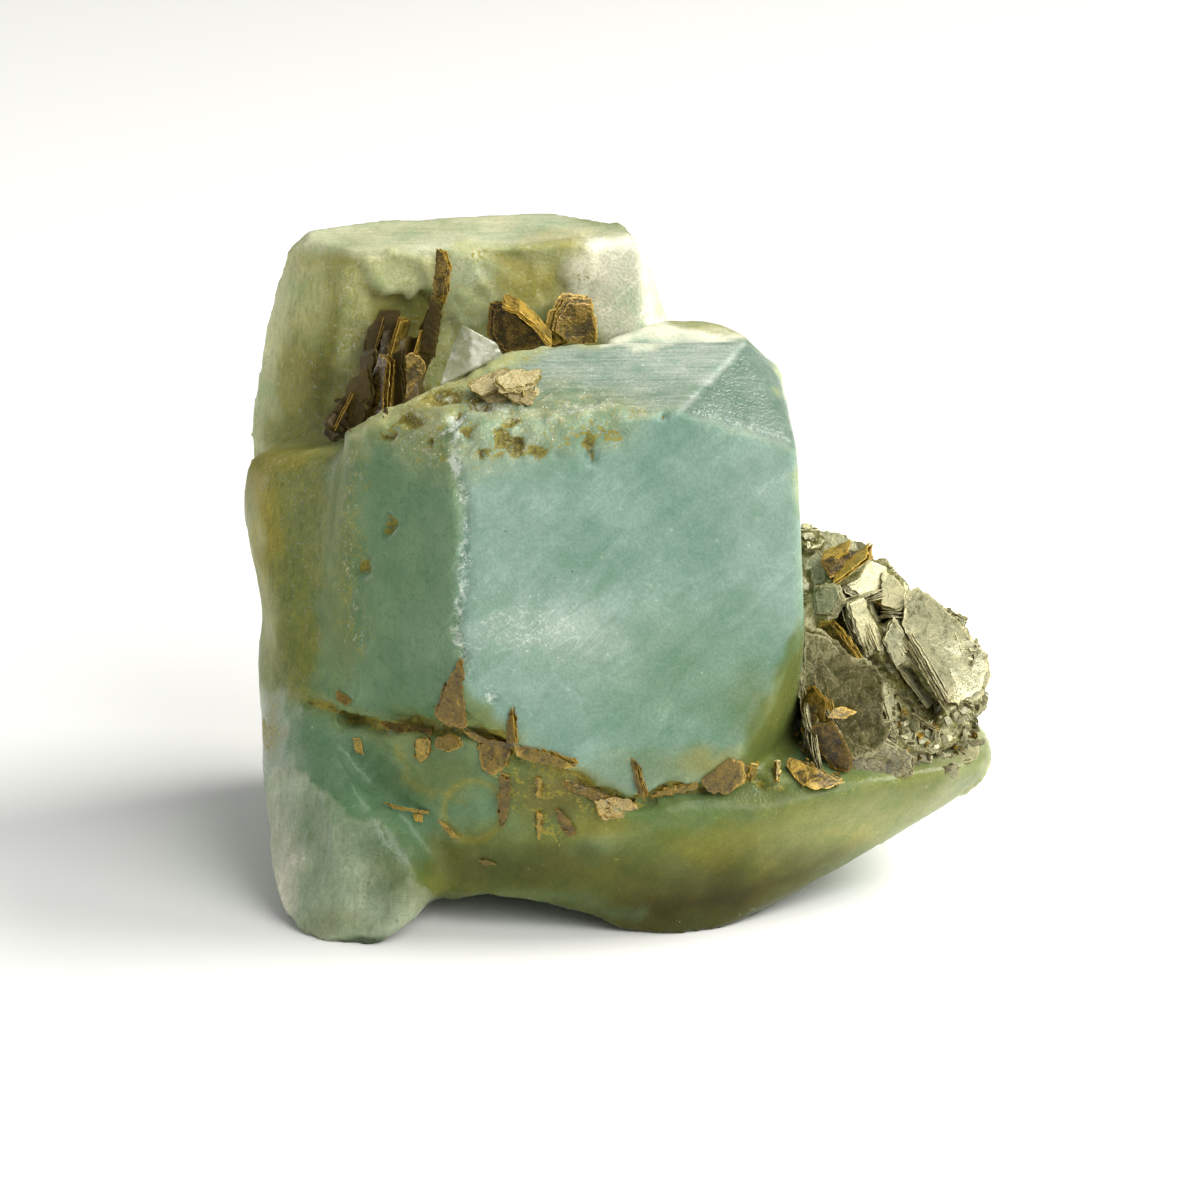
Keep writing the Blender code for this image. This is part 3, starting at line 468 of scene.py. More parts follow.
def clouds(points, size, seed, octaves):
    """Smooth noise from about 0 to 1 at points, whose clumps are about size wide."""
    total = np.zeros(len(points))
    weight, full = 1.0, 0.0
    scaled = points / size
    for octave in range(octaves):
        total += weight * one_cloud(scaled, seed + 17 * octave)
        full += weight
        weight *= 0.5
        scaled = scaled * 2.03 + 11.7
    return total / full


def one_cloud(points, seed):
    base = np.floor(points).astype(np.int64)
    part = points - base
    part = part * part * (3 - 2 * part)
    total = np.zeros(len(points))
    for corner in range(8):
        step = np.array((corner & 1, corner >> 1 & 1, corner >> 2 & 1))
        share = np.prod(np.where(step, part, 1 - part), axis=1)
        total += share * chance(base + step, seed)
    return total


def chance(cells, seed):
    """A repeatable number from 0 to 1 for each whole-number cell."""
    mixed = cells[:, 0] * 374761393 + cells[:, 1] * 668265263 + cells[:, 2] * 1274126177
    mixed = (mixed + seed * 144665) & 0x7FFFFFFF
    mixed = ((mixed ^ (mixed >> 13)) * 1103515245) & 0x7FFFFFFF
    return ((mixed ^ (mixed >> 16)) & 0xFFFFFF) / 0xFFFFFF


def smooth_step(low, high, value):
    part = np.clip((value - low) / (high - low), 0, 1)
    return part * part * (3 - 2 * part)


def terraces(values, low, high):
    """Values in whole steps, each with a smooth rise in its last part."""
    return np.floor(values) + smooth_step(low, high, values % 1)


# Meshes

def rows_of(items, name, width=3, kind=float):
    """What each item of a mesh holds under a name, as the rows of an array."""
    flat = np.zeros(len(items) * width, kind)
    items.foreach_get(name, flat)
    return flat.reshape(-1, width)


def placed(name, data):
    made = bpy.data.objects.new(name, data)
    bpy.context.scene.collection.objects.link(made)
    return made


def in_box(points):
    return np.clip(points, BOX_LOW + BOX_MARGIN, BOX_HIGH - BOX_MARGIN)


def carry(mesh, name, values):
    """Stores a number or a colour at each point of a mesh."""
    values = np.asarray(values, np.float32)
    if values.ndim == 1:
        layer = mesh.attributes.new(name, "FLOAT", "POINT")
        layer.data.foreach_set("value", values)
    else:
        layer = mesh.attributes.new(name, "FLOAT_COLOR", "POINT")
        full = np.ones((len(values), 4), np.float32)
        full[:, :3] = values
        layer.data.foreach_set("color", full.ravel())


def fine_copy(node, name, grain, rounds):
    """A closed copy of a solid with even small faces and worn edges."""
    source = bmesh.new()
    source.from_mesh(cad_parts[node].data)
    bmesh.ops.remove_doubles(source, verts=source.verts, dist=1e-6)
    mesh = bpy.data.meshes.new(name)
    source.to_mesh(mesh)
    source.free()
    made = placed(name, mesh)
    remesh = made.modifiers.new("grain", "REMESH")
    remesh.mode = "VOXEL"
    remesh.voxel_size = grain
    remesh.use_smooth_shade = True
    fine = bpy.data.meshes.new_from_object(
        made.evaluated_get(bpy.context.evaluated_depsgraph_get()))
    made.modifiers.clear()
    made.data = fine
    bpy.data.meshes.remove(mesh)
    fine.name = name
    fine.materials.clear()
    wear_down(fine, rounds)
    return made


def wear_down(mesh, rounds, where=1.0):
    """Moves each point towards the middle of its neighbours, a few times over."""
    count = len(mesh.vertices)
    ends = rows_of(mesh.edges, "vertices", 2, np.int64)
    neighbours = np.bincount(ends.ravel(), minlength=count)[:, None]
    points = rows_of(mesh.vertices, "co")
    for _ in range(rounds):
        total = np.zeros_like(points)
        for axis in range(3):
            total[:, axis] = np.bincount(ends[:, 0], points[ends[:, 1], axis], count)
            total[:, axis] += np.bincount(ends[:, 1], points[ends[:, 0], axis], count)
        points = points + (total / neighbours - points) * (0.5 * where)
    mesh.vertices.foreach_set("co", points.ravel())
    mesh.update()


def finish_piece(piece, slot, material, *nodes):
    """Hands a finished piece to the frame."""
    piece.data.materials.clear()
    piece.data.materials.append(material)
    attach(piece, "root")
    if nodes:
        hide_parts(*nodes)
    return piece


class Skin:
    """The points of a mesh in millimetres, and masks of what lies where in the photograph."""

    def __init__(self, mesh):
        self.mesh = mesh
        self.read()

    def read(self):
        self.points = rows_of(self.mesh.vertices, "co") / MM
        self.normals = rows_of(self.mesh.vertex_normals, "vector")
        self.front = smooth_step(-0.2, 0.15, -(self.normals @ LOOK))
        self.plain_x, self.plain_y = in_photo(self.points)
        wander = [clouds(self.points, 2.2, seed, 3) - 0.5 for seed in (5, 6)]
        self.x = self.plain_x + WANDER * wander[0]
        self.y = self.plain_y + WANDER * wander[1]

    def raised(self, lift):
        """The points moved outward by a lift for each."""
        return self.points + self.normals * lift[:, None]

    def write(self, points):
        self.points = points
        self.mesh.vertices.foreach_set("co", (points * MM).ravel())
        self.mesh.update()

    def blob(self, x, y, across, tall, soft=0.5):
        """1 inside an ellipse in the photograph, fading over soft times its size."""
        away = np.hypot((self.x - x) / across, (self.y - y) / tall)
        return smooth_step(1 + soft, 1 - soft, away) * self.front

    def patch(self, corners, soft):
        """1 inside an outline in the photograph, fading over soft pixels each way."""
        inside = np.zeros(len(self.x), bool)
        near = np.full(len(self.x), 1e9)
        for (ax, ay), (bx, by) in zip(corners, corners[1:] + corners[:1]):
            near = np.minimum(near, self.from_edge(self.x, self.y, (ax, ay), (bx, by)))
            slope = (bx - ax) / (by - ay) if by != ay else 0.0
            inside ^= ((ay > self.y) != (by > self.y)) & (self.x < slope * (self.y - ay) + ax)
        return smooth_step(soft, -soft, np.where(inside, -near, near)) * self.front

    def line(self, corners, width, soft, exact=False):
        """1 along a line in the photograph, width pixels to each side of it."""
        x, y = (self.plain_x, self.plain_y) if exact else (self.x, self.y)
        near = np.full(len(x), 1e9)
        for a, b in zip(corners, corners[1:]):
            near = np.minimum(near, self.from_edge(x, y, a, b))
        return smooth_step(width + soft, width - soft, near) * self.front

    def mask(self, first, *rest):
        """A line if that is the first word, a patch if an outline comes first, or a blob."""
        if first == "line":
            return self.line(*rest)
        make = self.patch if isinstance(first, list) else self.blob
        return make(first, *rest)

    def from_disc(self):
        return np.hypot(self.plain_x - DISC[0], self.plain_y - DISC[1])

    @staticmethod
    def from_edge(x, y, a, b):
        along = np.array(b, float) - a
        part = np.clip(((x - a[0]) * along[0] + (y - a[1]) * along[1]) / (along @ along), 0, 1)
        return np.hypot(x - a[0] - part * along[0], y - a[1] - part * along[1])


# The beryl, as it is seen

FRONT_FACE = path("455,415 680,412 797,447 803,620 770,700 735,768 640,800 520,745 462,690")
LEFT_FACE = path("330,470 455,415 462,690 440,728 372,722 318,700")
TOP_FACE = path("455,412 480,385 540,350 745,340 680,412")
CHAMFER = path("680,412 745,340 775,370 797,447")
CRUST = path("385,440 405,400 430,385 560,385 640,405 620,440 560,452 500,462 455,480 400,460")
CHIPPED_EDGE = path("455,425 455,480 463,537 466,597 456,630 462,667 488,703")
BACK_FACE = path("350,255 600,235 600,345 550,350 440,400 370,430 330,440")
BACK_STRIP = path("285,245 355,255 370,330 330,440 300,470 262,470")
FAR_LEFT = path("270,240 300,245 285,340 268,450 240,455")
BACK_TOP = path("280,236 330,215 520,205 620,222 640,240 600,238 350,255")
BACK_RIGHT = path("590,238 640,238 665,325 600,345")
SHOULDER = path("600,345 660,318 745,332 740,345 620,350")
LEFT_FLANK = path("243,450 330,450 330,560 318,700 262,700 255,590")
LOW_STRIP = path("258,690 284,690 290,775 262,775")
COLUMN = path("262,770 294,775 347,819 378,821 416,850 418,889 439,899 400,935 300,945 265,850")
BASE = path("300,705 440,728 520,770 640,805 700,800 640,832 560,880 420,895 416,850 347,819 "
            "294,775")
LEDGE = path("640,800 790,780 880,782 760,812 650,832 600,830")
WING = path("650,832 760,812 880,782 992,750 992,800 865,850 745,900")
MOSSY_BOTTOM = path("560,905 640,885 720,870 800,862 850,850 740,925 640,945")
LOW_RIGHT = path("430,885 540,865 640,838 760,818 880,788 992,758 992,800 865,860 745,925 "
                 "640,945 500,915")
LOWER_BEVEL = path("740,770 803,620 803,740 770,790")
SEAM = path("307,703 340,715 373,723 430,728 460,730 500,742 540,765 583,785 632,803 670,790 "
            "720,785 780,780")
RIDGE = path("650,832 760,812 880,782 985,765")
LOW_MIDDLE = path("425,842 500,822 560,842 605,868 540,892 430,890")
COLUMN_EDGE = path("268,705 294,775 347,819 378,821 416,850 430,899")
DISC = (472, 812)
DISC_RADIUS = 33
DISC_RIM = 30                      # where its stained ring lies
DISC_ARC = path("395,745 405,775 430,795 462,803")
STAINED_BASE = path("500,755 545,775 600,800 622,822 575,848 540,850 515,825 500,800")
CURTAIN = path("352,252 432,250 437,285 432,302 424,292 412,304 400,294 389,300 376,288 362,268")
UNDER_CURTAIN = path("376,290 389,302 400,297 412,307 424,295 436,305 428,345 400,352 375,330")
GREY_PLATE = path("452,250 497,254 514,290 500,322 470,325 445,320")
YELLOW_HOLLOW = path("495,256 562,256 560,285 545,305 525,310 505,290")
WORN_EDGES = [
    (path("258,590 300,680 320,702"), 20, 14), (COLUMN_EDGE, 26, 14),
    (path("342,468 325,560 318,690"), 18, 12), (path("236,452 335,458"), 12, 10),
]
# Pits in the crust and stained hollows: middle, half width, half height
HOLLOWS = [
    (441, 398, 19, 8), (478, 403, 12, 8), (404, 422, 11, 9), (510, 421, 8, 7), (503, 440, 8, 9),
    (517, 446, 8, 11), (538, 448, 10, 9), (587, 442, 5, 9), (588, 460, 4, 9), (390, 437, 5, 5),
    (468, 433, 4, 4), (455, 418, 5, 5), (430, 436, 5, 4), (484, 447, 5, 5), (656, 420, 3, 5),
    (393, 523, 6, 8), (366, 563, 5, 9),
]
# Body colours in the order that they are laid: colour, share, and where
PAINT = [
    ("deep", 1.0, BASE, 10),
    ("teal", 0.15, 350, 760, 50, 40, 0.7),
    ("olive", 0.75, LEFT_FLANK, 14),
    ("tan", 0.75, 258, 520, 22, 80),
    ("tan", 0.6, BACK_STRIP, 10),
    # Painted glow: pale along the left outline, where light comes through the thin edges
    ("pale", 0.8, FAR_LEFT, 8),
    ("pale", 0.25, 250, 550, 10, 40),
    ("pale", 0.3, 262, 640, 12, 60),
    ("pale", 0.7, 310, 290, 30, 40, 0.8),
    ("moss", 0.6, 338, 385, 26, 40, 0.8),
    ("olive", 0.5, 348, 330, 26, 60, 0.8),
    # The back crystal
    ("pale", 0.9, BACK_FACE, 8),
    ("tan", 0.25, BACK_FACE, 8),
    ("glass", 0.7, GREY_PLATE, 5),
    ("yellow", 0.6, YELLOW_HOLLOW, 10),
    ("tan", 0.4, 500, 300, 50, 20, 0.7),
    ("tan", 0.5, 372, 262, 24, 10, 0.8),
    ("olive", 0.7, "line", path("497,262 504,290 520,305"), 4, 6),
    ("pale", 0.6, 555, 258, 34, 10),
    ("tan", 0.5, 555, 238, 34, 10),
    # Painted glow: cream on the back crystal's right side, where light from the right shines
    # through it
    ("cream", 1.0, 590, 285, 24, 34),
    ("moss", 0.6, 428, 325, 14, 24),
    ("pale", 0.9, CURTAIN, 4),
    ("tan", 0.6, UNDER_CURTAIN, 5),
    ("cream", 0.3, BACK_TOP, 7),
    # Painted glow on the back crystal's right edge
    ("cream", 1.0, BACK_RIGHT, 8),
    ("cream", 0.95, SHOULDER, 5),
    # The front crystal
    ("deep", 1.0, LEFT_FACE, 10),
    ("olive", 0.5, 340, 560, 18, 120, 0.7),
    ("teal", 1.0, FRONT_FACE, 6),
    ("milky", 0.35, 560, 640, 110, 60, 0.7),
    ("milky", 0.2, 500, 500, 60, 70, 0.7),
    ("milky", 0.3, 770, 540, 45, 100, 0.7),
    ("frost", 0.25, 545, 632, 60, 30, 0.7),
    ("deep", 0.45, 700, 690, 90, 70, 0.8),
    ("tan", 0.35, "line", SEAM, 12, 14),
    ("olive", 0.4, 655, 765, 50, 16, 0.8),
    ("tan", 0.6, 718, 763, 34, 12, 0.8),
    # Painted shade: darker on the front crystal's lower right flank, which faces away from the
    # light
    ("olive", 0.4, 765, 715, 40, 40, 0.8),
    # Painted reflection: the bluish sky colour on the top face and the chamfer stands for the
    # bright surroundings reflected in them
    ("sky", 1.0, TOP_FACE, 6),
    ("frost", 0.4, 672, 362, 80, 20, 0.8),
    ("sky", 1.0, CHAMFER, 4),
    ("teal", 0.6, CHAMFER, 4),
    # Painted highlight: a bright frost line along the chamfer's upper edge
    ("frost", 0.8, "line", path("680,412 745,342"), 2, 3, True),
    ("pale", 0.15, CRUST, 26),
    ("tan", 0.15, CRUST, 20),
    # Painted shade on the lower bevel, which lies in shadow
    ("deep", 0.9, LOWER_BEVEL, 5),
    ("olive", 0.7, LOWER_BEVEL, 8),
    ("moss", 0.25, LOWER_BEVEL, 8),
    # The ledge and the wing
    ("deep", 0.9, LEDGE, 5),
    ("olive", 0.5, LEDGE, 7),
    ("moss", 0.45, 770, 795, 50, 16, 0.8),
    ("olive", 0.7, WING, 8),
    ("olive", 0.7, LOW_RIGHT, 26),
    ("tan", 0.15, 740, 850, 60, 24, 0.8),
    ("pale", 0.2, 815, 845, 60, 22, 0.8),
    # Painted glow: paler and glassier towards the wing's thin right end
    ("pale", 0.35, 905, 822, 80, 28, 0.8),
    ("glass", 0.35, 975, 790, 45, 36, 0.8),
    ("yellow", 0.3, 850, 834, 26, 12, 0.9),
    ("olive", 0.5, 880, 770, 90, 16, 0.8),
    ("moss", 0.6, 920, 745, 60, 20, 0.8),
    ("moss", 0.95, MOSSY_BOTTOM, 34),
    ("moss", 0.3, 655, 872, 60, 26, 0.8),
    # The base and its feet
    ("olive", 0.75, LOW_MIDDLE, 20),
    ("moss", 0.5, 490, 868, 80, 24, 0.8),
    ("moss", 0.4, 560, 870, 50, 20, 0.8),
    ("deep", 0.3, "line", path("500,892 560,896 640,916"), 6, 10),
    ("olive", 0.5, 440, 778, 44, 26, 0.7),
    ("olive", 0.35, 405, 742, 36, 18, 0.7),
    ("olive", 0.65, STAINED_BASE, 10),
    ("rust", 0.6, 555, 795, 46, 20, 0.8),
    ("tan", 0.6, 602, 828, 34, 14, 0.8),
    ("tan", 0.5, "line", DISC_ARC, 2, 4),
    ("tan", 0.5, "line", COLUMN_EDGE[1:], 1, 3.5),
    ("glass", 1.0, COLUMN, 4),
    ("deep", 0.4, 350, 850, 60, 60, 0.8),
    ("deep", 0.8, 396, 848, 26, 44, 0.8),
    ("deep", 0.5, 295, 825, 24, 24, 0.8),
    # Painted highlight: a cream streak down the column's left edge
    ("cream", 0.9, 280, 885, 18, 54, 0.8),
    ("olive", 0.5, 425, 890, 26, 22, 0.8),
    ("olive", 0.4, 335, 925, 30, 14, 0.8),
    ("olive", 0.35, 390, 868, 24, 24, 0.8),
    ("glass", 0.6, LOW_STRIP, 4),
    ("tan", 0.5, 274, 730, 8, 28, 0.6),
]
# Slivers along the seam, under the solid that each stands for: outline, layers, how light,
# and how many crumbs go with it
SEAM_SCRAPS = {
    "seam_mica_spike": [("458,660 461,673 462,727 447,725 435,717 443,690", 5, 0.3, 10)],
    "seam_mica_left": [
        ("416,740 428,737 430,750 427,757 420,761 417,755", 4, 0.4, 9),
        ("437,738 450,734 460,740 457,747 447,751 435,746", 4, 0.8, 9),
        ("380,723 400,725 432,728 430,732 398,730", 2, 0.3, 8),
    ],
    "seam_mica_middle": [
        ("480,746 498,743 511,752 506,767 493,775 482,768", 5, 0.7, 34),
        ("500,776 509,780 507,813 502,828 499,820", 3, 0.6, 16),
        ("512,707 516,743 508,741 507,728", 2, 0.5, 0),
        ("517,743 550,753 579,766 567,768 540,761 519,756", 4, 0.6, 14),
        ("464,730 480,738 512,743 514,748 480,745", 3, 0.3, 12),
    ],
    "seam_mica_right": [
        ("594,802 612,798 632,801 636,808 620,817 600,817", 4, 0.8, 22),
        ("556,809 562,812 575,831 571,838 563,829", 3, 0.3, 8),
        ("537,777 541,778 541,797 538,798", 2, 0.9, 4),
        ("537,812 542,814 540,840 537,836", 2, 0.9, 5),
        ("565,779 590,787 625,803 600,799 572,789", 2, 0.1, 12),
    ],
    "seam_mica_needle": [("631,756 644,790 643,798 638,791", 3, 0.6, 0)],
    "seam_mica_clump": [
        ("706,780 716,771 733,757 744,763 744,782 729,793 711,791", 5, 0.45, 34),
        ("749,763 757,764 755,777 749,778", 2, 1.0, 5),
        ("650,796 670,788 698,782 698,787 668,795", 3, 0.6, 14),
        ("776,759 779,760 778,782 776,780", 2, 0.6, 4),
    ],
}
STRAY_SLIVERS = [
    "335,690 352,700 346,706 336,700", "353,738 360,738 365,755 357,752",
    "382,802 393,805 430,812 430,815 393,809", "412,812 422,813 422,821 415,820",
    "438,820 446,825 460,839 450,838", "477,860 490,861 497,865 485,866",
]


def shape_beryl(skin):
    """Striations, terraces, pits, chips, the crust and the seam, worked along the normals."""
    p = skin.points
    patch = skin.patch
    turned = p * (1.0, 1.0, 0.08)
    level = p * (0.12, 1.0, 1.0)
    lift = 0.16 * (clouds(p, 7.0, 1, 2) - 0.5) + 0.05 * (clouds(p, 1.8, 2, 3) - 0.5)

    upright = patch(LEFT_FACE, 10) + 0.8 * patch(LEFT_FLANK, 12)
    upright = upright + 0.7 * patch(BACK_STRIP, 10) + 0.6 * patch(COLUMN, 10)
    lift += 0.1 * upright * (clouds(turned, 0.9, 3, 3) - 0.5)
    lift += 0.14 * patch(TOP_FACE, 8) * (clouds(level, 0.8, 4, 3) - 0.5)

    crust = patch(CRUST, 14)
    knobs = clouds(p, 1.1, 7, 3)
    lift += crust * (0.75 * (knobs - 0.45) + 0.25 * (clouds(p, 0.5, 8, 2) - 0.5))
    chips = skin.line(CHIPPED_EDGE, 7, 5) * smooth_step(0.25, 0.5, clouds(p, 2.4, 10, 2))
    lift += chips * 0.9 * (np.abs(clouds(p, 1.1, 9, 3) - 0.5) * 2 - 0.55)
    hollow = np.zeros(len(p))
    for place in HOLLOWS:
        hollow = np.maximum(hollow, skin.blob(*place, 0.35))
    lift -= 0.55 * hollow

    back = patch(BACK_FACE, 10)
    steps = clouds(p * (1.0, 1.0, 0.7), 3.4, 12, 3) * 4
    lift += back * 0.3 * (terraces(steps, 0.55, 0.8) - 2.0)
    lift += 0.5 * patch(CURTAIN, 2.5) - 0.6 * patch(UNDER_CURTAIN, 4)
    lift += 0.25 * patch(GREY_PLATE, 2.5) - 0.35 * patch(YELLOW_HOLLOW, 6)
    blocks = clouds(p * (1.0, 1.0, 0.45), 2.6, 11, 2) * 5
    lift += patch(COLUMN, 8) * 0.22 * (terraces(blocks, 0.55, 0.8) - 2.5)
    plates = clouds(p, 4.5, 13, 2) * 4
    lift += patch(BASE, 12) * 0.16 * (terraces(plates, 0.7, 0.9) - 2)
    away = skin.from_disc() / DISC_RADIUS
    lift -= 0.3 * smooth_step(1.04, 0.9, away) * skin.front * (away < 1.3)

    seam = skin.line(SEAM, 5, 5)
    lift -= seam * (0.25 + 0.7 * clouds(p, 1.2, 14, 2))
    lift += skin.line(RIDGE, 6, 8) * 0.3 * (clouds(p, 1.5, 15, 2) - 0.3)
    growth = clouds(p, 6.0, 16, 3) * 5
    lift += (1 - skin.front) * 0.3 * (terraces(growth, 0.6, 0.85) - 2.5)
    return lift, {"crust": crust, "chips": chips, "knobs": knobs, "back": back, "seam": seam,
                  "hollow": hollow}


def paint_beryl(skin, beryl):
    """The body colour at each point: broad zones first, then what the photograph shows."""
    p = skin.points
    height = p[:, 2]
    colour = np.tile(np.array(beryl.deep), (len(p), 1))

    def lay(name, mask):
        target = np.array(getattr(beryl, name))
        colour[:] = colour + (target - colour) * np.clip(mask, 0, 1)[:, None]

    drift = clouds(p, 9.0, 21, 3)
    lay("pale", smooth_step(30, 46, height + 10 * (drift - 0.5)) * 0.85)
    lay("teal", smooth_step(0.4, 0.7, drift) * 0.45)
    lay("olive", smooth_step(0.62, 0.3, clouds(p, 7.0, 22, 3)) * 0.5)
    lay("moss", smooth_step(6, 0, height) * 0.7)
    # Painted glow: paler towards the right, where the thin end of the wing is lit through
    lay("pale", smooth_step(18, 30, p[:, 0]) * 0.8)
    for name, share, *place in PAINT:
        lay(name, skin.mask(*place) * share)
    ring = np.abs(skin.from_disc() - DISC_RIM)
    lay("tan", smooth_step(5, 1, ring) * skin.front * 0.5)
    return colour


def beryl_masks(skin, made):
    """Where the beryl is hazy, stained and so on, from the masks that its shaping made."""
    patch, blob, line = skin.patch, skin.blob, skin.line
    pits = smooth_step(0.42, 0.3, made["knobs"]) * made["crust"]
    frosty = 0.7 * made["chips"] + 0.35 * made["crust"]
    frosty += 0.36 * blob(530, 630, 62, 40, 0.9)
    frosty += 0.2 * patch(TOP_FACE, 8) + 0.35 * patch(BACK_RIGHT, 8)
    stained = 0.75 * made["seam"] + pits * 0.35 + 0.65 * made["hollow"]
    stained += 0.28 * made["crust"]
    for outline in [scrap[0] for group in SEAM_SCRAPS.values() for scrap in group]:
        stained = np.maximum(stained, 0.4 * patch(path(outline), 9))
    stained += 0.25 * line(RIDGE, 4, 6) + 0.28 * patch(STAINED_BASE, 10)
    stained += 0.5 * blob(272, 730, 8, 28) + 0.3 * made["back"] * (
        smooth_step(0.5, 0.65, clouds(skin.points, 2.5, 31, 3)))
    grain = 0.8 * line(path("352,460 356,640"), 12, 18) + 0.4 * made["crust"]
    grain = grain + 0.4 * patch(BACK_STRIP, 14) + 0.3 * patch(LEFT_FLANK, 14)
    streak = 0.2 * patch(LEFT_FACE, 12) + patch(LEFT_FLANK, 12)
    streak = streak + 0.9 * patch(BACK_STRIP, 10) + 0.6 * patch(COLUMN, 8)
    grooved = patch(TOP_FACE, 6) + 0.5 * patch(CHAMFER, 5) + 0.35 * patch(BACK_TOP, 6)
    cracked = patch(COLUMN, 5) + 0.5 * patch(LOW_STRIP, 5) + 0.5 * patch(BACK_FACE, 5)
    clear = 0.4 * patch(CHAMFER, 4) + 0.35 * patch(COLUMN, 5) + 0.4 * patch(LOW_STRIP, 5)
    return (frosty, stained, grain + 0.5 * patch(BACK_FACE, 6), streak + 0.5 * (1 - skin.front),
            grooved, cracked, clear, blob(530, 570, 70, 100, 0.6))


class SPECIMEN_OT_grow_beryl(bpy.types.Operator):
    """Replace the beryl's solid by a worn, striated and stained crystal cluster"""
    bl_idname = "specimen.grow_beryl"
    bl_label = "Grow the beryl"

    def execute(self, context):
        beryl = context.scene.specimen_beryl
        cluster = fine_copy("aquamarine", "beryl_cluster", beryl.grain, 1)
        mesh = cluster.data
        skin = Skin(mesh)
        worn = np.max([skin.line(*edge) for edge in WORN_EDGES], axis=0)
        wear_down(mesh, 90, worn[:, None])
        skin.read()
        lift, masks = shape_beryl(skin)
        skin.write(in_box(skin.raised(lift)))
        carry(mesh, "body", paint_beryl(skin, beryl))
        for name, values in zip(BERYL_MASKS, beryl_masks(skin, masks)):
            carry(mesh, name, np.clip(values, 0, 1))
        finish_piece(cluster, "beryl", beryl_finish(beryl), "aquamarine")
        return {"FINISHED"}


# The mica, as it is seen. A row starts with the method of Leaves that makes it

SILVER_ROWS = [
    ("book", "908,601 918,595 936,605 960,625 984,651 988,671 980,690 958,704 946,702 924,660 "
     "907,630", (38, 30), (950, 650), 0.5, 9, 0.4, 0.08, 0.14),
    ("book", "884,572 896,576 910,588 910,606 899,611 884,606", (-2, 62), (897, 592), 0.7, 3, 1.0,
     0.2),
    ("book", "842,580 868,558 888,566 890,604 866,597 850,590", (18, 34), (868, 582), 0.45, 6,
     0.85, -0.15),
    ("book", "812,530 838,533 868,549 866,554 840,552 822,560 812,548", (-5, 50), (838, 546),
     0.4, 5, 0.8),
    ("book", "804,560 816,552 826,566 830,580 818,590 804,584", (-12, 35), (815, 572), 0.3, 5,
     0.7),
    ("book", "816,588 836,585 842,600 834,617 816,617", (-20, 18), (828, 600), 0.5, 5, 0.75),
    ("standing", "847,606 866,654 862,599", (1.2, 3.4, -1.0), (858, 630), 0.9, 9, 0.95),
    ("standing", "882,640 897,667 897,618", (1.0, 3.0, -1.0), (890, 645), 0.8, 8, 0.9),
    ("book", "848,606 861,600 874,634 870,652 860,642", (24, 16), (860, 626), 1.1, 3, 0.85),
    ("book", "884,640 893,619 903,634 905,660 896,665", (24, 12), (894, 642), 1.0, 3, 0.7),
    ("standing", "904,640 942,704 914,632", (1.4, 3.2, 0.4), (918, 665), 0.7, 7, 0.5),
    ("standing", "898,668 926,706 903,668", (1.2, 2.0, 0.0), (911, 688), 0.6, 2, 1.0),
    ("standing", "881,700 892,732 887,700", (0.8, 1.6, 0.0), (887, 715), 0.5, 2, 0.85),
    ("standing", "912,716 934,730 914,712", (0.3, 1.4, -0.5), (922, 722), 0.6, 2, 0.1),
    ("standing", "952,766 976,758 954,762", (0.2, 1.6, 0.5), (955, 755), 0.5, 2, 1.0),
    ("crumbs", "885,705 905,690 945,706 985,690 988,745 950,775 905,770 885,745", 120, 0.35, 1.5,
     0.28, 0.15),
    ("crumbs", "950,615 984,650 986,700 955,705", 30, 0.3, 1.0, 0.95, 0.4),
    ("crumbs", "801,512 815,526 820,585 803,600", 26, 0.35, 1.2, 0.85, 0.2),
]
REAR_ROWS = [("plates", "muscovite_stack", 40, 1.1, 2.5, 0.55)]
GREY_ROWS = [
    ("book", "806,625 830,633 848,656 864,662 873,661 879,672 880,705 878,717 886,733 876,751 "
     "850,757 812,735 805,680", (-6, 12), (845, 690), 0.45, 6, 0.55, 0.06),
    ("book", "850,742 885,735 915,755 912,772 880,778 848,770", (5, 25), (880, 757), 0.3, 4, 0.1),
    ("book", "895,735 925,745 935,765 905,775", (15, 30), (912, 757), 0.4, 4, 0.05),
    ("book", "806,735 824,742 832,765 810,772 800,755", (-20, 10), (815, 755), 0.3, 4, 0.3),
]
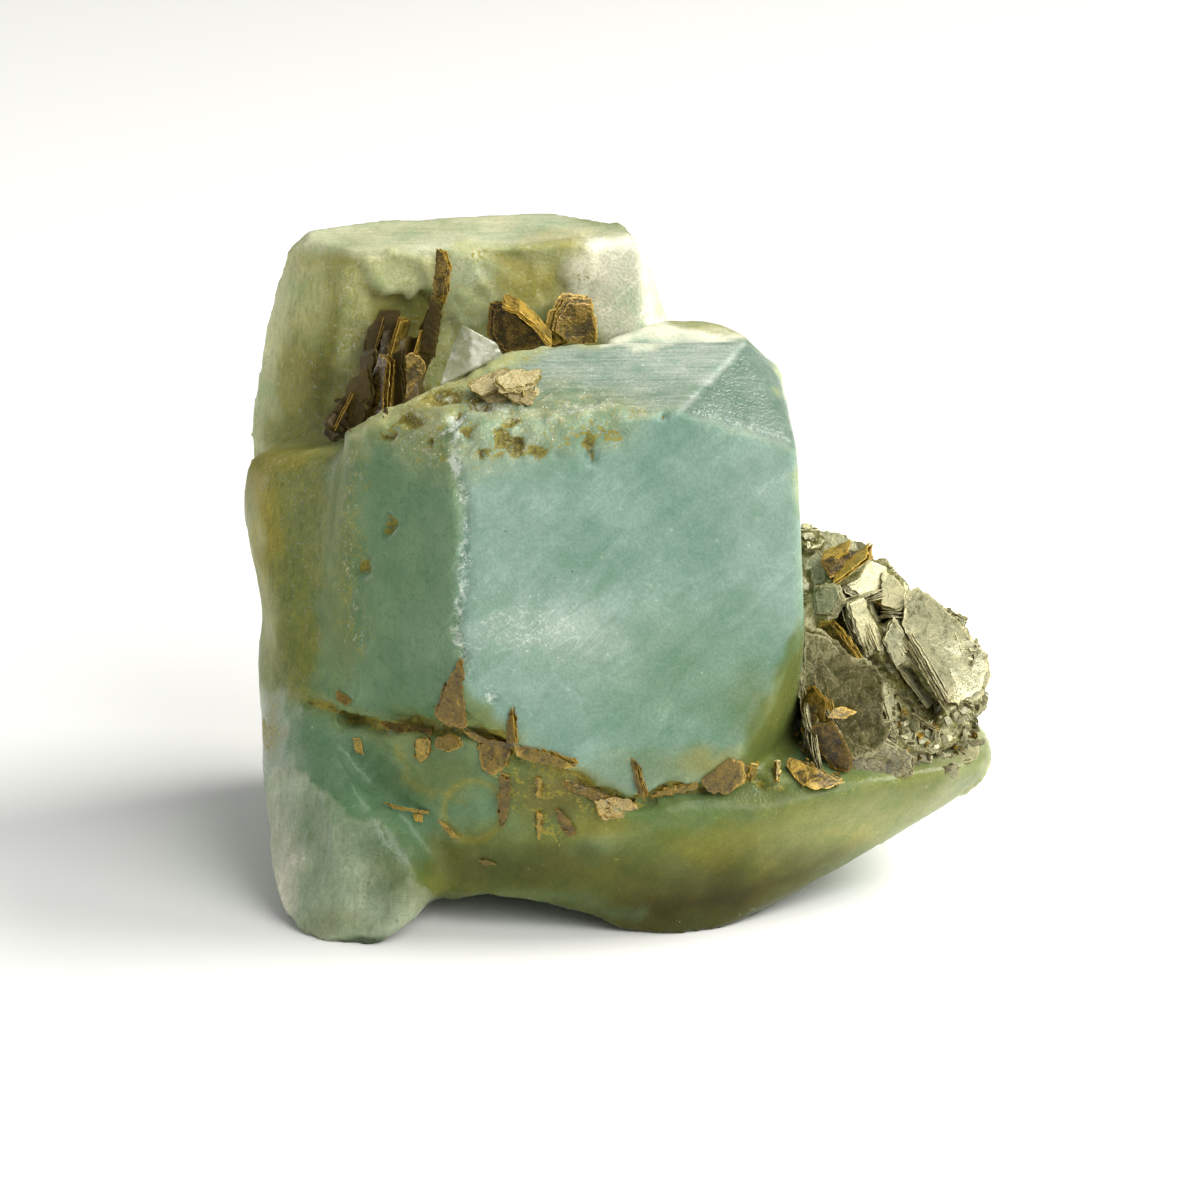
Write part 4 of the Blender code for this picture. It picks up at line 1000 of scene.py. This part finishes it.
GOLDEN_ROWS = [
    ("book", "820,562 838,553 870,550 872,556 848,566 830,577", (10, 50), (845, 560), 0.7, 4,
     0.35, 0.1),
    ("standing", "833,583 868,556 836,587", (0.4, 2.0, 0.8), (850, 574), 1.0, 2, 1.0),
    ("standing", "821,563 846,552 823,566", (0.4, 2.0, 0.6), (838, 560), 0.9, 2, 1.0),
    ("book", "866,600 897,611 884,632 878,626", (10, 10), (882, 612), 0.1, 3, 0.0),
    ("book", "819,623 832,621 842,633 854,649 866,665 860,666 845,657 828,643", (-35, 25),
     (842, 645), 0.9, 4, 0.75, 0.2),
    ("book", "812,729 832,723 842,741 850,757 848,771 834,769 820,749", (-15, 10), (832, 748),
     0.7, 5, 0.1),
    ("book", "800,690 812,685 826,702 826,722 812,727 800,712", (-35, 10), (813, 708), 0.6, 6,
     0.4),
    ("standing", "801,640 808,690 806,640", (0.6, 2.0, 0.0), (806, 665), 0.6, 3, 0.7),
    ("standing", "826,690 832,720 832,690", (0.6, 1.4, 0.0), (828, 705), 0.7, 3, 0.9),
    ("scrap", "829,717 834,709 842,706 855,711 844,718", 1.0, 3, 0.95),
    ("scrap", "789,765 792,757 804,761 830,773 844,778 828,784 814,786 799,779", 0.3, 5, 0.7),
    ("scrap", "896,601 868,594 868,600 895,611", 0.8, 2, 0.9),
    ("crumbs", "806,640 822,650 835,735 850,775 800,780 798,700", 46, 0.3, 1.1, 0.6, 0.25),
    ("crumbs", "790,758 840,772 845,786 800,786", 22, 0.3, 0.9, 0.6, 0.25),
    ("crumbs", "890,690 950,700 985,745 930,770 885,740", 30, 0.3, 1.1, 0.35, 0.1),
]
POCKET_BOOK_ROWS = [
    ("book", "433,300 441,305 433,358 418,352 424,322", (-12, 5), (430, 330), 0.2, 5, 0.7),
    ("book", "365,338 380,311 399,311 396,322 384,356 367,362", (-25, 10), (380, 338), 0.3, 4,
     0.9),
    ("book", "365,367 348,385 343,402 327,422 324,434 332,441 362,424 370,395", (-40, 12),
     (350, 405), 0.4, 6, 0.5),
    ("book", "388,360 402,350 402,398 388,412", (-30, 5), (394, 380), 0.2, 5, 0.4),
    ("book", "360,355 372,350 372,385 360,392", (-45, 10), (368, 372), 0.3, 4, 0.5),
    ("crumbs", "335,400 372,380 400,400 380,425 335,440", 34, 0.5, 1.4, 0.6, 0.2),
]
POCKET_BLADE_ROWS = [
    ("book", "439,250 445,253 450,267 445,300 437,307 433,303 437,275", (-15, 5), (441, 285),
     0.2, 3, 0.8),
    ("standing", "398,320 386,360 402,322", (0.6, 2.6, -0.6), (394, 345), 0.8, 4, 0.6),
    ("book", "380,355 387,362 383,395 383,417 373,419 368,408 371,380", (-50, 12), (378, 390),
     0.9, 6, 0.35),
    ("book", "403,358 412,353 423,362 425,372 417,380 407,397 402,388", (25, 15), (412, 375),
     0.9, 4, 0.7),
] + [
    ("standing", edge, (0.5, 2.0, -0.4), None, 1.1, 2, 0.6) for edge in (
        "384,318 374,352 387,320", "420,330 412,362 423,331", "370,366 346,404 373,368",
        "392,366 384,416 395,367", "352,392 334,428 355,394", "404,322 398,350 406,323")
]
FAN_ROWS = [
    ("book", "490,307 507,307 520,320 547,342 548,349 528,350 503,354 488,334", (-14, 15),
     (515, 335), 0.3, 5, 0.3, 0.0, 0.13, (0.02, 0.1, 0.06)),
    ("standing", "503,309 519,314 505,305", (0.0, 2.0, 0.5), (522, 325), 0.9, 4, 0.9),
    ("standing", "516,313 535,329 519,309", (0.0, 2.0, 0.5), (522, 325), 0.9, 4, 0.9),
    ("standing", "532,326 549,347 536,323", (0.0, 2.0, 0.5), (522, 325), 0.9, 4, 0.9),
    ("book", "548,335 563,333 567,342 550,347", (5, 30), (557, 342), 0.4, 3, 0.7),
]
SQUARE_ROWS = [
    ("book", "555,313 567,297 592,298 598,332 597,342 568,342 552,330", (14, 12), (577, 322),
     0.2, 8, 0.55, 0.0, 0.16, (-0.03, 0.0, 0.0)),
    ("book", "530,326 556,314 560,338 548,343", (-8, 20), (548, 334), 0.3, 4, 0.5),
]
FLAKE_ROWS = [
    ("book", outline, look, None, lift, 4, 0.7, 0.0, 0.11, (0, 0, 0), 0.09)
    for outline, look, lift in (
        ("467,386 480,378 503,368 515,374 500,388 480,396", (-5, 55), 0.3),
        ("495,380 510,371 538,372 537,381 522,388 503,390", (10, 50), 0.7),
        ("503,392 520,386 535,392 530,405 513,403", (0, 40), 0.4),
        ("478,394 500,390 508,400 490,404", (-10, 45), 0.3))
] + [("crumbs", "470,380 540,372 535,405 480,402", 14, 0.5, 1.3, 0.8, 0.3)]


class Leaves:
    """Thin torn sheets gathered into one mesh."""

    def __init__(self, seed, tree, rows=()):
        self.rng = np.random.default_rng(seed)
        self.tree = tree
        self.points, self.faces, self.rims, self.tones = [], [], [], []
        for kind, *rest in rows:
            getattr(self, kind)(*rest)

    def shade(self, tone, spread=0.2):
        return float(np.clip(tone + self.rng.normal(0, spread), 0, 1))

    def sides(self, across):
        """Two directions at right angles in a sheet, turned at random."""
        side = unit(np.cross(across, self.rng.normal(0, 1, 3)))
        return side, np.cross(across, side)

    def torn(self, corners, across, rough):
        """The outline with points all round, each moved in its own plane as a tear leaves it."""
        torn = []
        for a, b in zip(corners, np.roll(corners, -1, axis=0)):
            count = max(1, int(np.linalg.norm(b - a) / TEAR_STEP))
            out = np.cross(b - a, across)
            out = out / (np.linalg.norm(out) + 1e-9)
            for i in range(count):
                slip = self.rng.normal(0, rough if i else rough * 0.4)
                torn.append(a + (b - a) * (i / count) + out * slip)
        return np.array(torn)

    def leaf(self, outline, across, thick, tone, curl, rough):
        """One closed sheet: rings of points from its rim to its middle, above and below."""
        rim = self.torn(outline, across, rough)
        middle = rim.mean(axis=0)
        count = len(rim)
        start = sum(len(block) for block in self.points)
        length = np.linalg.norm(rim - middle, axis=1).max() + 1e-6
        lean = self.rng.normal(0, 1, 3)
        lean = lean - across * (lean @ across)
        lean = lean / (np.linalg.norm(lean) + 1e-9)
        seed = int(self.rng.integers(1000))
        for side in (1, -1):
            for i, (share, _) in enumerate(LEAF_RINGS):
                ring = middle + (rim - middle) * share
                rise = curl * ((ring - middle) @ lean / length) ** 2 * length
                rise = rise + 0.05 * length * (clouds(ring, 1.4, seed, 2) - 0.5)
                half = thick * (0.5 if i else 0.32)
                self.points.append(ring + across * (rise + side * half)[:, None])
            self.points.append(middle[None] + across * side * thick * 0.5)
        per_side = count * len(LEAF_RINGS) + 1
        around = [(i, (i + 1) % count) for i in range(count)]
        for base, way in ((start, 1), (start + per_side, -1)):
            inner = base + (len(LEAF_RINGS) - 1) * count
            for ring in range(base, inner, count):
                self.faces += [[ring + i, ring + j, ring + count + j, ring + count + i][::way]
                               for i, j in around]
            self.faces += [[inner + i, inner + j, base + per_side - 1][::way] for i, j in around]
        self.faces += [[start + i, start + per_side + i, start + per_side + j, start + j]
                       for i, j in around]
        share = [np.full(count, nearness) for _, nearness in LEAF_RINGS] + [[0.0]]
        self.rims.extend(share * 2)
        self.tones.append(np.full(2 * per_side, tone))

    def stack(self, outline, across, count, gap, tone, slide=(0, 0, 0), curl=0.0, rough=0.06,
              spread=0.12):
        """Leaves one behind another, none quite like the last."""
        outline = np.array(outline, float)
        middle = outline.mean(axis=0)
        reach = np.linalg.norm(outline - middle, axis=1).max()
        slide = np.array(slide, float)
        for i in range(count):
            size = 1 + self.rng.uniform(-spread, spread * 0.6)
            shift = self.rng.normal(0, 0.05 + 0.03 * reach, 3)
            shift = shift - across * (shift @ across)
            layer = middle + (outline - middle) * size + slide * i + shift - across * gap * i
            tilt = np.cross(across, self.rng.normal(0, 1, 3))
            lean = (layer - middle) @ tilt * self.rng.normal(0, 0.5) * gap / max(reach, 0.2)
            layer = kept_in(layer + across * lean[:, None], gap * 2)
            shade = self.shade(tone)
            bend = curl + self.rng.normal(0, 0.04)
            self.leaf(layer, across, gap * self.rng.uniform(0.5, 0.85), shade, bend, rough)

    def anchor(self, x, y):
        """What is seen at a pixel, or just beside it where the solids end a little short."""
        for reach in range(0, ANCHOR_REACH, ANCHOR_STEP):
            for turn in range(8 if reach else 1):
                angle = turn * math.pi / 4
                hit = seen(self.tree, x + reach * math.cos(angle), y + reach * math.sin(angle))
                if hit is not None:
                    return hit[0]
        raise ValueError(f"nothing of the specimen is seen near {x}, {y}")

    def book(self, outline, look, at, lift, count, tone, curl=0.0, gap=0.13, slide=(0, 0, 0),
             rough=0.06):
        """A book whose top sheet has this outline in the photograph and faces look."""
        outline = path(outline)
        across = facing(*look)
        x, y = at or np.mean(outline, axis=0)
        through = self.anchor(x, y) + across * lift
        corners = [on_plane(px, py, through, across) for px, py in outline]
        self.stack(corners, across, count, gap, tone, slide, curl, rough)

    def standing(self, outline, deep, at, lift, count, tone):
        """A book seen on its edge. The outline is its nearest leaf's ends and its far leaf's
        start."""
        outline = path(outline)
        through = self.anchor(*(at or outline[0])) - LOOK * lift
        a, b, c = (on_plane(px, py, through, -LOOK) for px, py in outline)
        into = np.array(deep)
        across = unit(np.cross(b - a, into))
        if across @ (c - a) < 0:
            across = -across
        width = max(abs(across @ (c - a)), 0.1)
        gap = width / count
        slip = (c - a) - across * width
        along = b - a
        for i in range(count):
            shade = self.shade(tone)
            begin = a + across * gap * i + slip * i / count
            trim = self.rng.uniform(-0.06, 0.06, 2)
            start, end = begin + along * trim[0], begin + along * (1 + trim[1])
            near = -into * self.rng.uniform(0.0, 0.08)
            sheet = [start + near, end + near, end + into * self.rng.uniform(0.8, 1.0),
                     start + into * self.rng.uniform(0.8, 1.0)]
            sheet = kept_in(np.array(sheet), gap)
            self.leaf(sheet, across, gap * self.rng.uniform(0.5, 0.85), shade, 0.0, 0.05)

    def scrap(self, outline, lift, layers, tone, thick=0.12, rough=0.05):
        """Layers that lie on whatever is seen within this outline."""
        outline = path(outline)
        corners = np.array(outline, float)
        inner = (corners + corners.mean(axis=0)) / 2
        hits = [h for h in (seen(self.tree, x, y) for x, y in (*corners, *inner)) if h is not None]
        if len(hits) < 3:
            raise ValueError(f"the scrap at {outline[0]} lies off the specimen")
        places = np.array([h[0] for h in hits])
        across = np.linalg.svd(places - places.mean(axis=0))[2][2]
        if across @ LOOK > 0:
            across = -across
        if -(across @ LOOK) < 0.7:
            across = unit(across - LOOK * 1.2)
        near = np.argsort(places @ across)[int(len(places) * SCRAP_REST)]
        through = places[near] + across * lift
        corners = [on_plane(x, y, through, across) for x, y in outline]
        self.stack(corners, across, layers, thick, tone, rough=rough, spread=0.05)

    def crumbs(self, outline, count, small, large, tone, lift):
        """Torn bits that lie any way up within an outline in the photograph."""
        outline = path(outline)
        xs, ys = zip(*outline)
        made = 0
        for _ in range(count * CRUMB_TRIES):
            if made == count:
                break
            x, y = self.rng.uniform(min(xs), max(xs)), self.rng.uniform(min(ys), max(ys))
            hit = seen(self.tree, x, y) if within(x, y, outline) else None
            if hit is None:
                continue
            made += 1
            across = unit(hit[1] * 0.6 + self.rng.normal(0, 0.7, 3) - LOOK * 0.3)
            sides = self.sides(across)
            size = self.rng.uniform(small, large)
            slim = self.rng.uniform(0.4, 1.0)
            corners = int(self.rng.integers(5, 9))
            slip = self.rng.uniform(0, 0.7, corners)
            reach = self.rng.uniform(0.55, 1.1, corners) * size / 2
            ring = rough_ring(hit[0] + hit[1] * lift, sides, slip, reach, slim)
            self.stack(ring, across, int(self.rng.integers(1, 4)), 0.1, self.shade(tone, 0.25),
                       rough=0.04)

    def plates(self, node, count, small, large, tone):
        """Books laid on the side of a solid that the photograph doesn't show."""
        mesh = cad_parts[node].data
        rear = [p for p in mesh.polygons if np.array(p.normal) @ LOOK > -0.1 and p.normal.z > -0.3]
        areas = np.array([p.area for p in rear])
        for _ in range(count):
            face = rear[int(self.rng.choice(len(rear), p=areas / areas.sum()))]
            corners = np.array([mesh.vertices[i].co for i in face.vertices]) / MM
            across = unit(np.array(face.normal) + self.rng.normal(0, 0.22, 3))
            sides = self.sides(across)
            centre = self.rng.dirichlet(np.ones(len(corners))) @ corners + across * 0.25
            size = self.rng.uniform(small, large)
            ring = rough_ring(centre, sides, self.rng.uniform(0, 0.5, 6), [size] * 6, 0.75)
            self.stack(ring, across, int(self.rng.integers(3, 6)), 0.14, tone, rough=0.08)

    def made(self, name, slot, material, *nodes):
        """The gathered sheets as one piece of the specimen, kept inside the solids' box."""
        mesh = bpy.data.meshes.new(name)
        mesh.from_pydata((in_box(np.concatenate(self.points)) * MM).tolist(), [], self.faces)
        carry(mesh, "rim", np.concatenate(self.rims))
        carry(mesh, "leaf", np.concatenate(self.tones))
        face_outward(mesh)
        return finish_piece(placed(name, mesh), slot, material, *nodes)


def rough_ring(centre, sides, slip, reach, slim):
    """Corners round a middle in the plane of two sides."""
    turns = (np.arange(len(slip)) + slip) * (2 * math.pi / len(slip))
    return [centre + r * (sides[0] * math.cos(t) + sides[1] * math.sin(t) * slim)
            for r, t in zip(reach, turns)]


def face_outward(mesh):
    """Turns the faces of each closed sheet outward."""
    work = bmesh.new()
    work.from_mesh(mesh)
    bmesh.ops.recalc_face_normals(work, faces=work.faces)
    work.to_mesh(mesh)
    work.free()


def kept_in(outline, margin):
    """The outline moved as a whole so that it lies in the solids' box."""
    under = np.maximum(BOX_LOW + margin - outline.min(axis=0), 0)
    over = np.maximum(outline.max(axis=0) - (BOX_HIGH - margin), 0)
    return outline + under - over


def finishes(context):
    """The mica materials, made once."""
    mica = context.scene.specimen_mica
    made = {
        "silver": (mica.silver, mica.silver_edge), "grey": (mica.grey, mica.silver_edge),
        "golden": (mica.brown, mica.gold), "flake": (mica.flake, mica.amber, 0.5),
        "amber": (mica.amber, mica.gold, 0.9), "shaded": (mica.dark, mica.brown, 0.8, 0.6),
    }
    return {
        name: bpy.data.materials.get(name + "_sheets") or mica_finish(name + "_sheets", *colours)
        for name, colours in made.items()
    }


def backing(node, name, grain, roughness, slot, material):
    """A rough remeshed copy of a mica solid, which fills in behind the thin leaves."""
    piece = fine_copy(node, name, grain * MM, 1)
    skin = Skin(piece.data)
    skin.write(skin.raised(roughness * (clouds(skin.points, 0.9, 41, 3) - 0.75)))
    carry(piece.data, "rim", smooth_step(0.45, 0.7, clouds(skin.points, 0.6, 42, 3)) * 0.6)
    carry(piece.data, "leaf", 0.4 + 0.5 * clouds(skin.points, 1.5, 43, 2))
    return finish_piece(piece, slot, material, node)


class SPECIMEN_OT_lay_stack(bpy.types.Operator):
    """Stack the silvery muscovite that stands on the wing"""
    bl_idname = "specimen.lay_stack"
    bl_label = "Lay the muscovite stack"

    def execute(self, context):
        finish = finishes(context)
        backing("muscovite_stack", "stack_core", 0.32, 0.35, "silvery_mica", finish["grey"])
        tree = solids("muscovite_stack", "aquamarine", "broken_mica_leaf")
        for seed, rows, name, slot, look, nodes in (
                (101, SILVER_ROWS, "silver_leaves", "silvery_mica", "silver", ()),
                (104, REAR_ROWS, "rear_leaves", "silvery_mica", "silver", ()),
                (102, GREY_ROWS, "grey_leaves", "silvery_mica", "grey", ()),
                (103, GOLDEN_ROWS, "golden_leaves", "golden_mica", "golden",
                 ("broken_mica_leaf",))):
            Leaves(seed, tree, rows).made(name, slot, finish[look], *nodes)
        return {"FINISHED"}


class SPECIMEN_OT_fill_pocket(bpy.types.Operator):
    """Stand golden mica in the pocket between the two crystals"""
    bl_idname = "specimen.fill_pocket"
    bl_label = "Fill the pocket"

    def execute(self, context):
        finish = finishes(context)
        # The core and the books in the pocket take the dark finish: painted shade of the recess
        backing("pocket_mica", "pocket_core", 0.25, 0.3, "golden_mica", finish["shaded"])
        tree = solids("pocket_mica", "tall_mica_blade", "mica_fan", "square_mica_book",
                      "aquamarine")
        for seed, rows, name, look, nodes in (
                (111, POCKET_BOOK_ROWS, "pocket_books", "shaded", ()),
                (115, POCKET_BLADE_ROWS, "pocket_blades", "golden", ("tall_mica_blade",)),
                (112, FAN_ROWS, "arched_fan", "golden", ("mica_fan",)),
                (113, SQUARE_ROWS, "square_book", "golden", ("square_mica_book",))):
            Leaves(seed, tree, rows).made(name, "golden_mica", finish[look], *nodes)
        flakes = Leaves(114, solids("mica_flakes", "aquamarine"), FLAKE_ROWS)
        flakes.made("gold_flakes", "pale_gold_mica", finish["flake"], "mica_flakes")
        return {"FINISHED"}


class SPECIMEN_OT_fill_seam(bpy.types.Operator):
    """Lay golden slivers along the seam under the front crystal"""
    bl_idname = "specimen.fill_seam"
    bl_label = "Fill the seam"

    def execute(self, context):
        amber = finishes(context)["amber"]
        tree = tree_of(bpy.data.objects["beryl_cluster"])
        for seed, (node, scraps) in enumerate(SEAM_SCRAPS.items()):
            leaves = Leaves(120 + seed, tree)
            for outline, layers, shade, torn in scraps:
                leaves.scrap(outline, 0.25, layers + 2, shade * SEAM_SHADE, rough=0.09)
                leaves.crumbs(outline, torn, 0.25, 0.8, shade * SEAM_SHADE, 0.14)
            leaves.made(node.replace("_mica", "") + "_leaves", "golden_mica", amber, node)
        bits = Leaves(130, tree, [("scrap", outline, 0.12, 1, 0.5, 0.08)
                                  for outline in STRAY_SLIVERS])
        bits.made("stray_slivers", "golden_mica", amber)
        return {"FINISHED"}


class SPECIMEN_OT_set_quartz(bpy.types.Operator):
    """Set the small wedge of milky quartz on top"""
    bl_idname = "specimen.set_quartz"
    bl_label = "Set the quartz"

    def execute(self, context):
        wedge = fine_copy("quartz_wedge", "quartz_shard", 0.12 * MM, 2)
        skin = Skin(wedge.data)
        lift = 0.3 * (clouds(skin.points, 1.3, 51, 3) - 0.5)
        skin.write(skin.raised(lift) - np.array((0, 0, 0.45)))
        finish_piece(wedge, "quartz", quartz_finish(context.scene.specimen_quartz), "quartz_wedge")
        return {"FINISHED"}


# The stage

def aim(thing, place, target):
    thing.location = place
    thing.rotation_euler = (Vector(target) - Vector(place)).to_track_quat("-Z", "Y").to_euler()


class SPECIMEN_OT_set_stage(bpy.types.Operator):
    """Make the floor, the daylight, three lamps and the camera at the photograph's angle"""
    bl_idname = "specimen.set_stage"
    bl_label = "Set the stage"

    def execute(self, context):
        scene = context.scene
        stage = scene.specimen_stage
        f = Finish("floor")
        floor_mesh = bpy.data.meshes.new("floor")
        reach = 3.0
        floor_mesh.from_pydata(
            [(-reach, -reach, 0), (reach, -reach, 0), (reach, reach, 0), (-reach, reach, 0)],
            [], [(0, 1, 2, 3)])
        floor = placed("floor", floor_mesh)
        floor_mesh.materials.append(f.done(f.surface({
            "Base Color": (*stage.floor, 1.0), "Roughness": 0.6})))

        world = bpy.data.worlds.new("daylight")
        world.use_nodes = True
        sky = world.node_tree.nodes["Background"]
        sky.inputs["Color"].default_value = (1.0, 1.0, 0.97, 1.0)
        sky.inputs["Strength"].default_value = stage.daylight
        scene.world = world
        middle = VIEW_TARGET * MM
        for name, place, size, tint in (
                ("key", (0.42, 0.04, 0.45), 0.3, (1.0, 0.98, 0.92)),
                ("fill", (0.34, -0.42, 0.42), 0.5, (1.0, 1.0, 0.96)),
                ("rim", (-0.4, 0.16, 0.06), 0.25, (1.0, 1.0, 0.98))):
            light = bpy.data.lights.new(name, "AREA")
            light.energy, light.size, light.color = getattr(stage, name), size, tint
            aim(placed(name, light), place, middle)

        camera = bpy.data.cameras.new("camera")
        camera.lens_unit = "FOV"
        camera.angle = 2 * math.atan(PHOTO_SIZE / 2 * PIXEL / VIEW_DISTANCE)
        camera.clip_start = 0.01
        scene.camera = placed("camera", camera)
        aim(scene.camera, EYE * MM, middle)
        scene.view_settings.view_transform = "Standard"
        return {"FINISHED"}


class SPECIMEN_PT_panel(bpy.types.Panel):
    """Everything that dresses the specimen"""
    bl_label = "Specimen"
    bl_idname = "SPECIMEN_PT_panel"
    bl_space_type = "VIEW_3D"
    bl_region_type = "UI"
    bl_category = "Specimen"

    def draw(self, context):
        for operator in OPERATORS:
            self.layout.operator(operator.bl_idname)
        for name, group in SETTINGS.items():
            box = self.layout.box()
            box.label(text=name.capitalize())
            for field in group.__annotations__:
                box.prop(getattr(context.scene, "specimen_" + name), field)


OPERATORS = (
    SPECIMEN_OT_set_stage, SPECIMEN_OT_grow_beryl, SPECIMEN_OT_lay_stack,
    SPECIMEN_OT_fill_pocket, SPECIMEN_OT_set_quartz, SPECIMEN_OT_fill_seam,
)
CLASSES = (*SETTINGS.values(), *OPERATORS, SPECIMEN_PT_panel)


def register():
    for made in CLASSES:
        bpy.utils.register_class(made)
    for name, group in SETTINGS.items():
        setattr(bpy.types.Scene, "specimen_" + name, PointerProperty(type=group))


def unregister():
    for name in SETTINGS:
        delattr(bpy.types.Scene, "specimen_" + name)
    for made in reversed(CLASSES):
        bpy.utils.unregister_class(made)


def main():
    register()
    for operator in OPERATORS:
        family, name = operator.bl_idname.split(".")
        getattr(getattr(bpy.ops, family), name)()


if __name__ == "__main__":
    main()
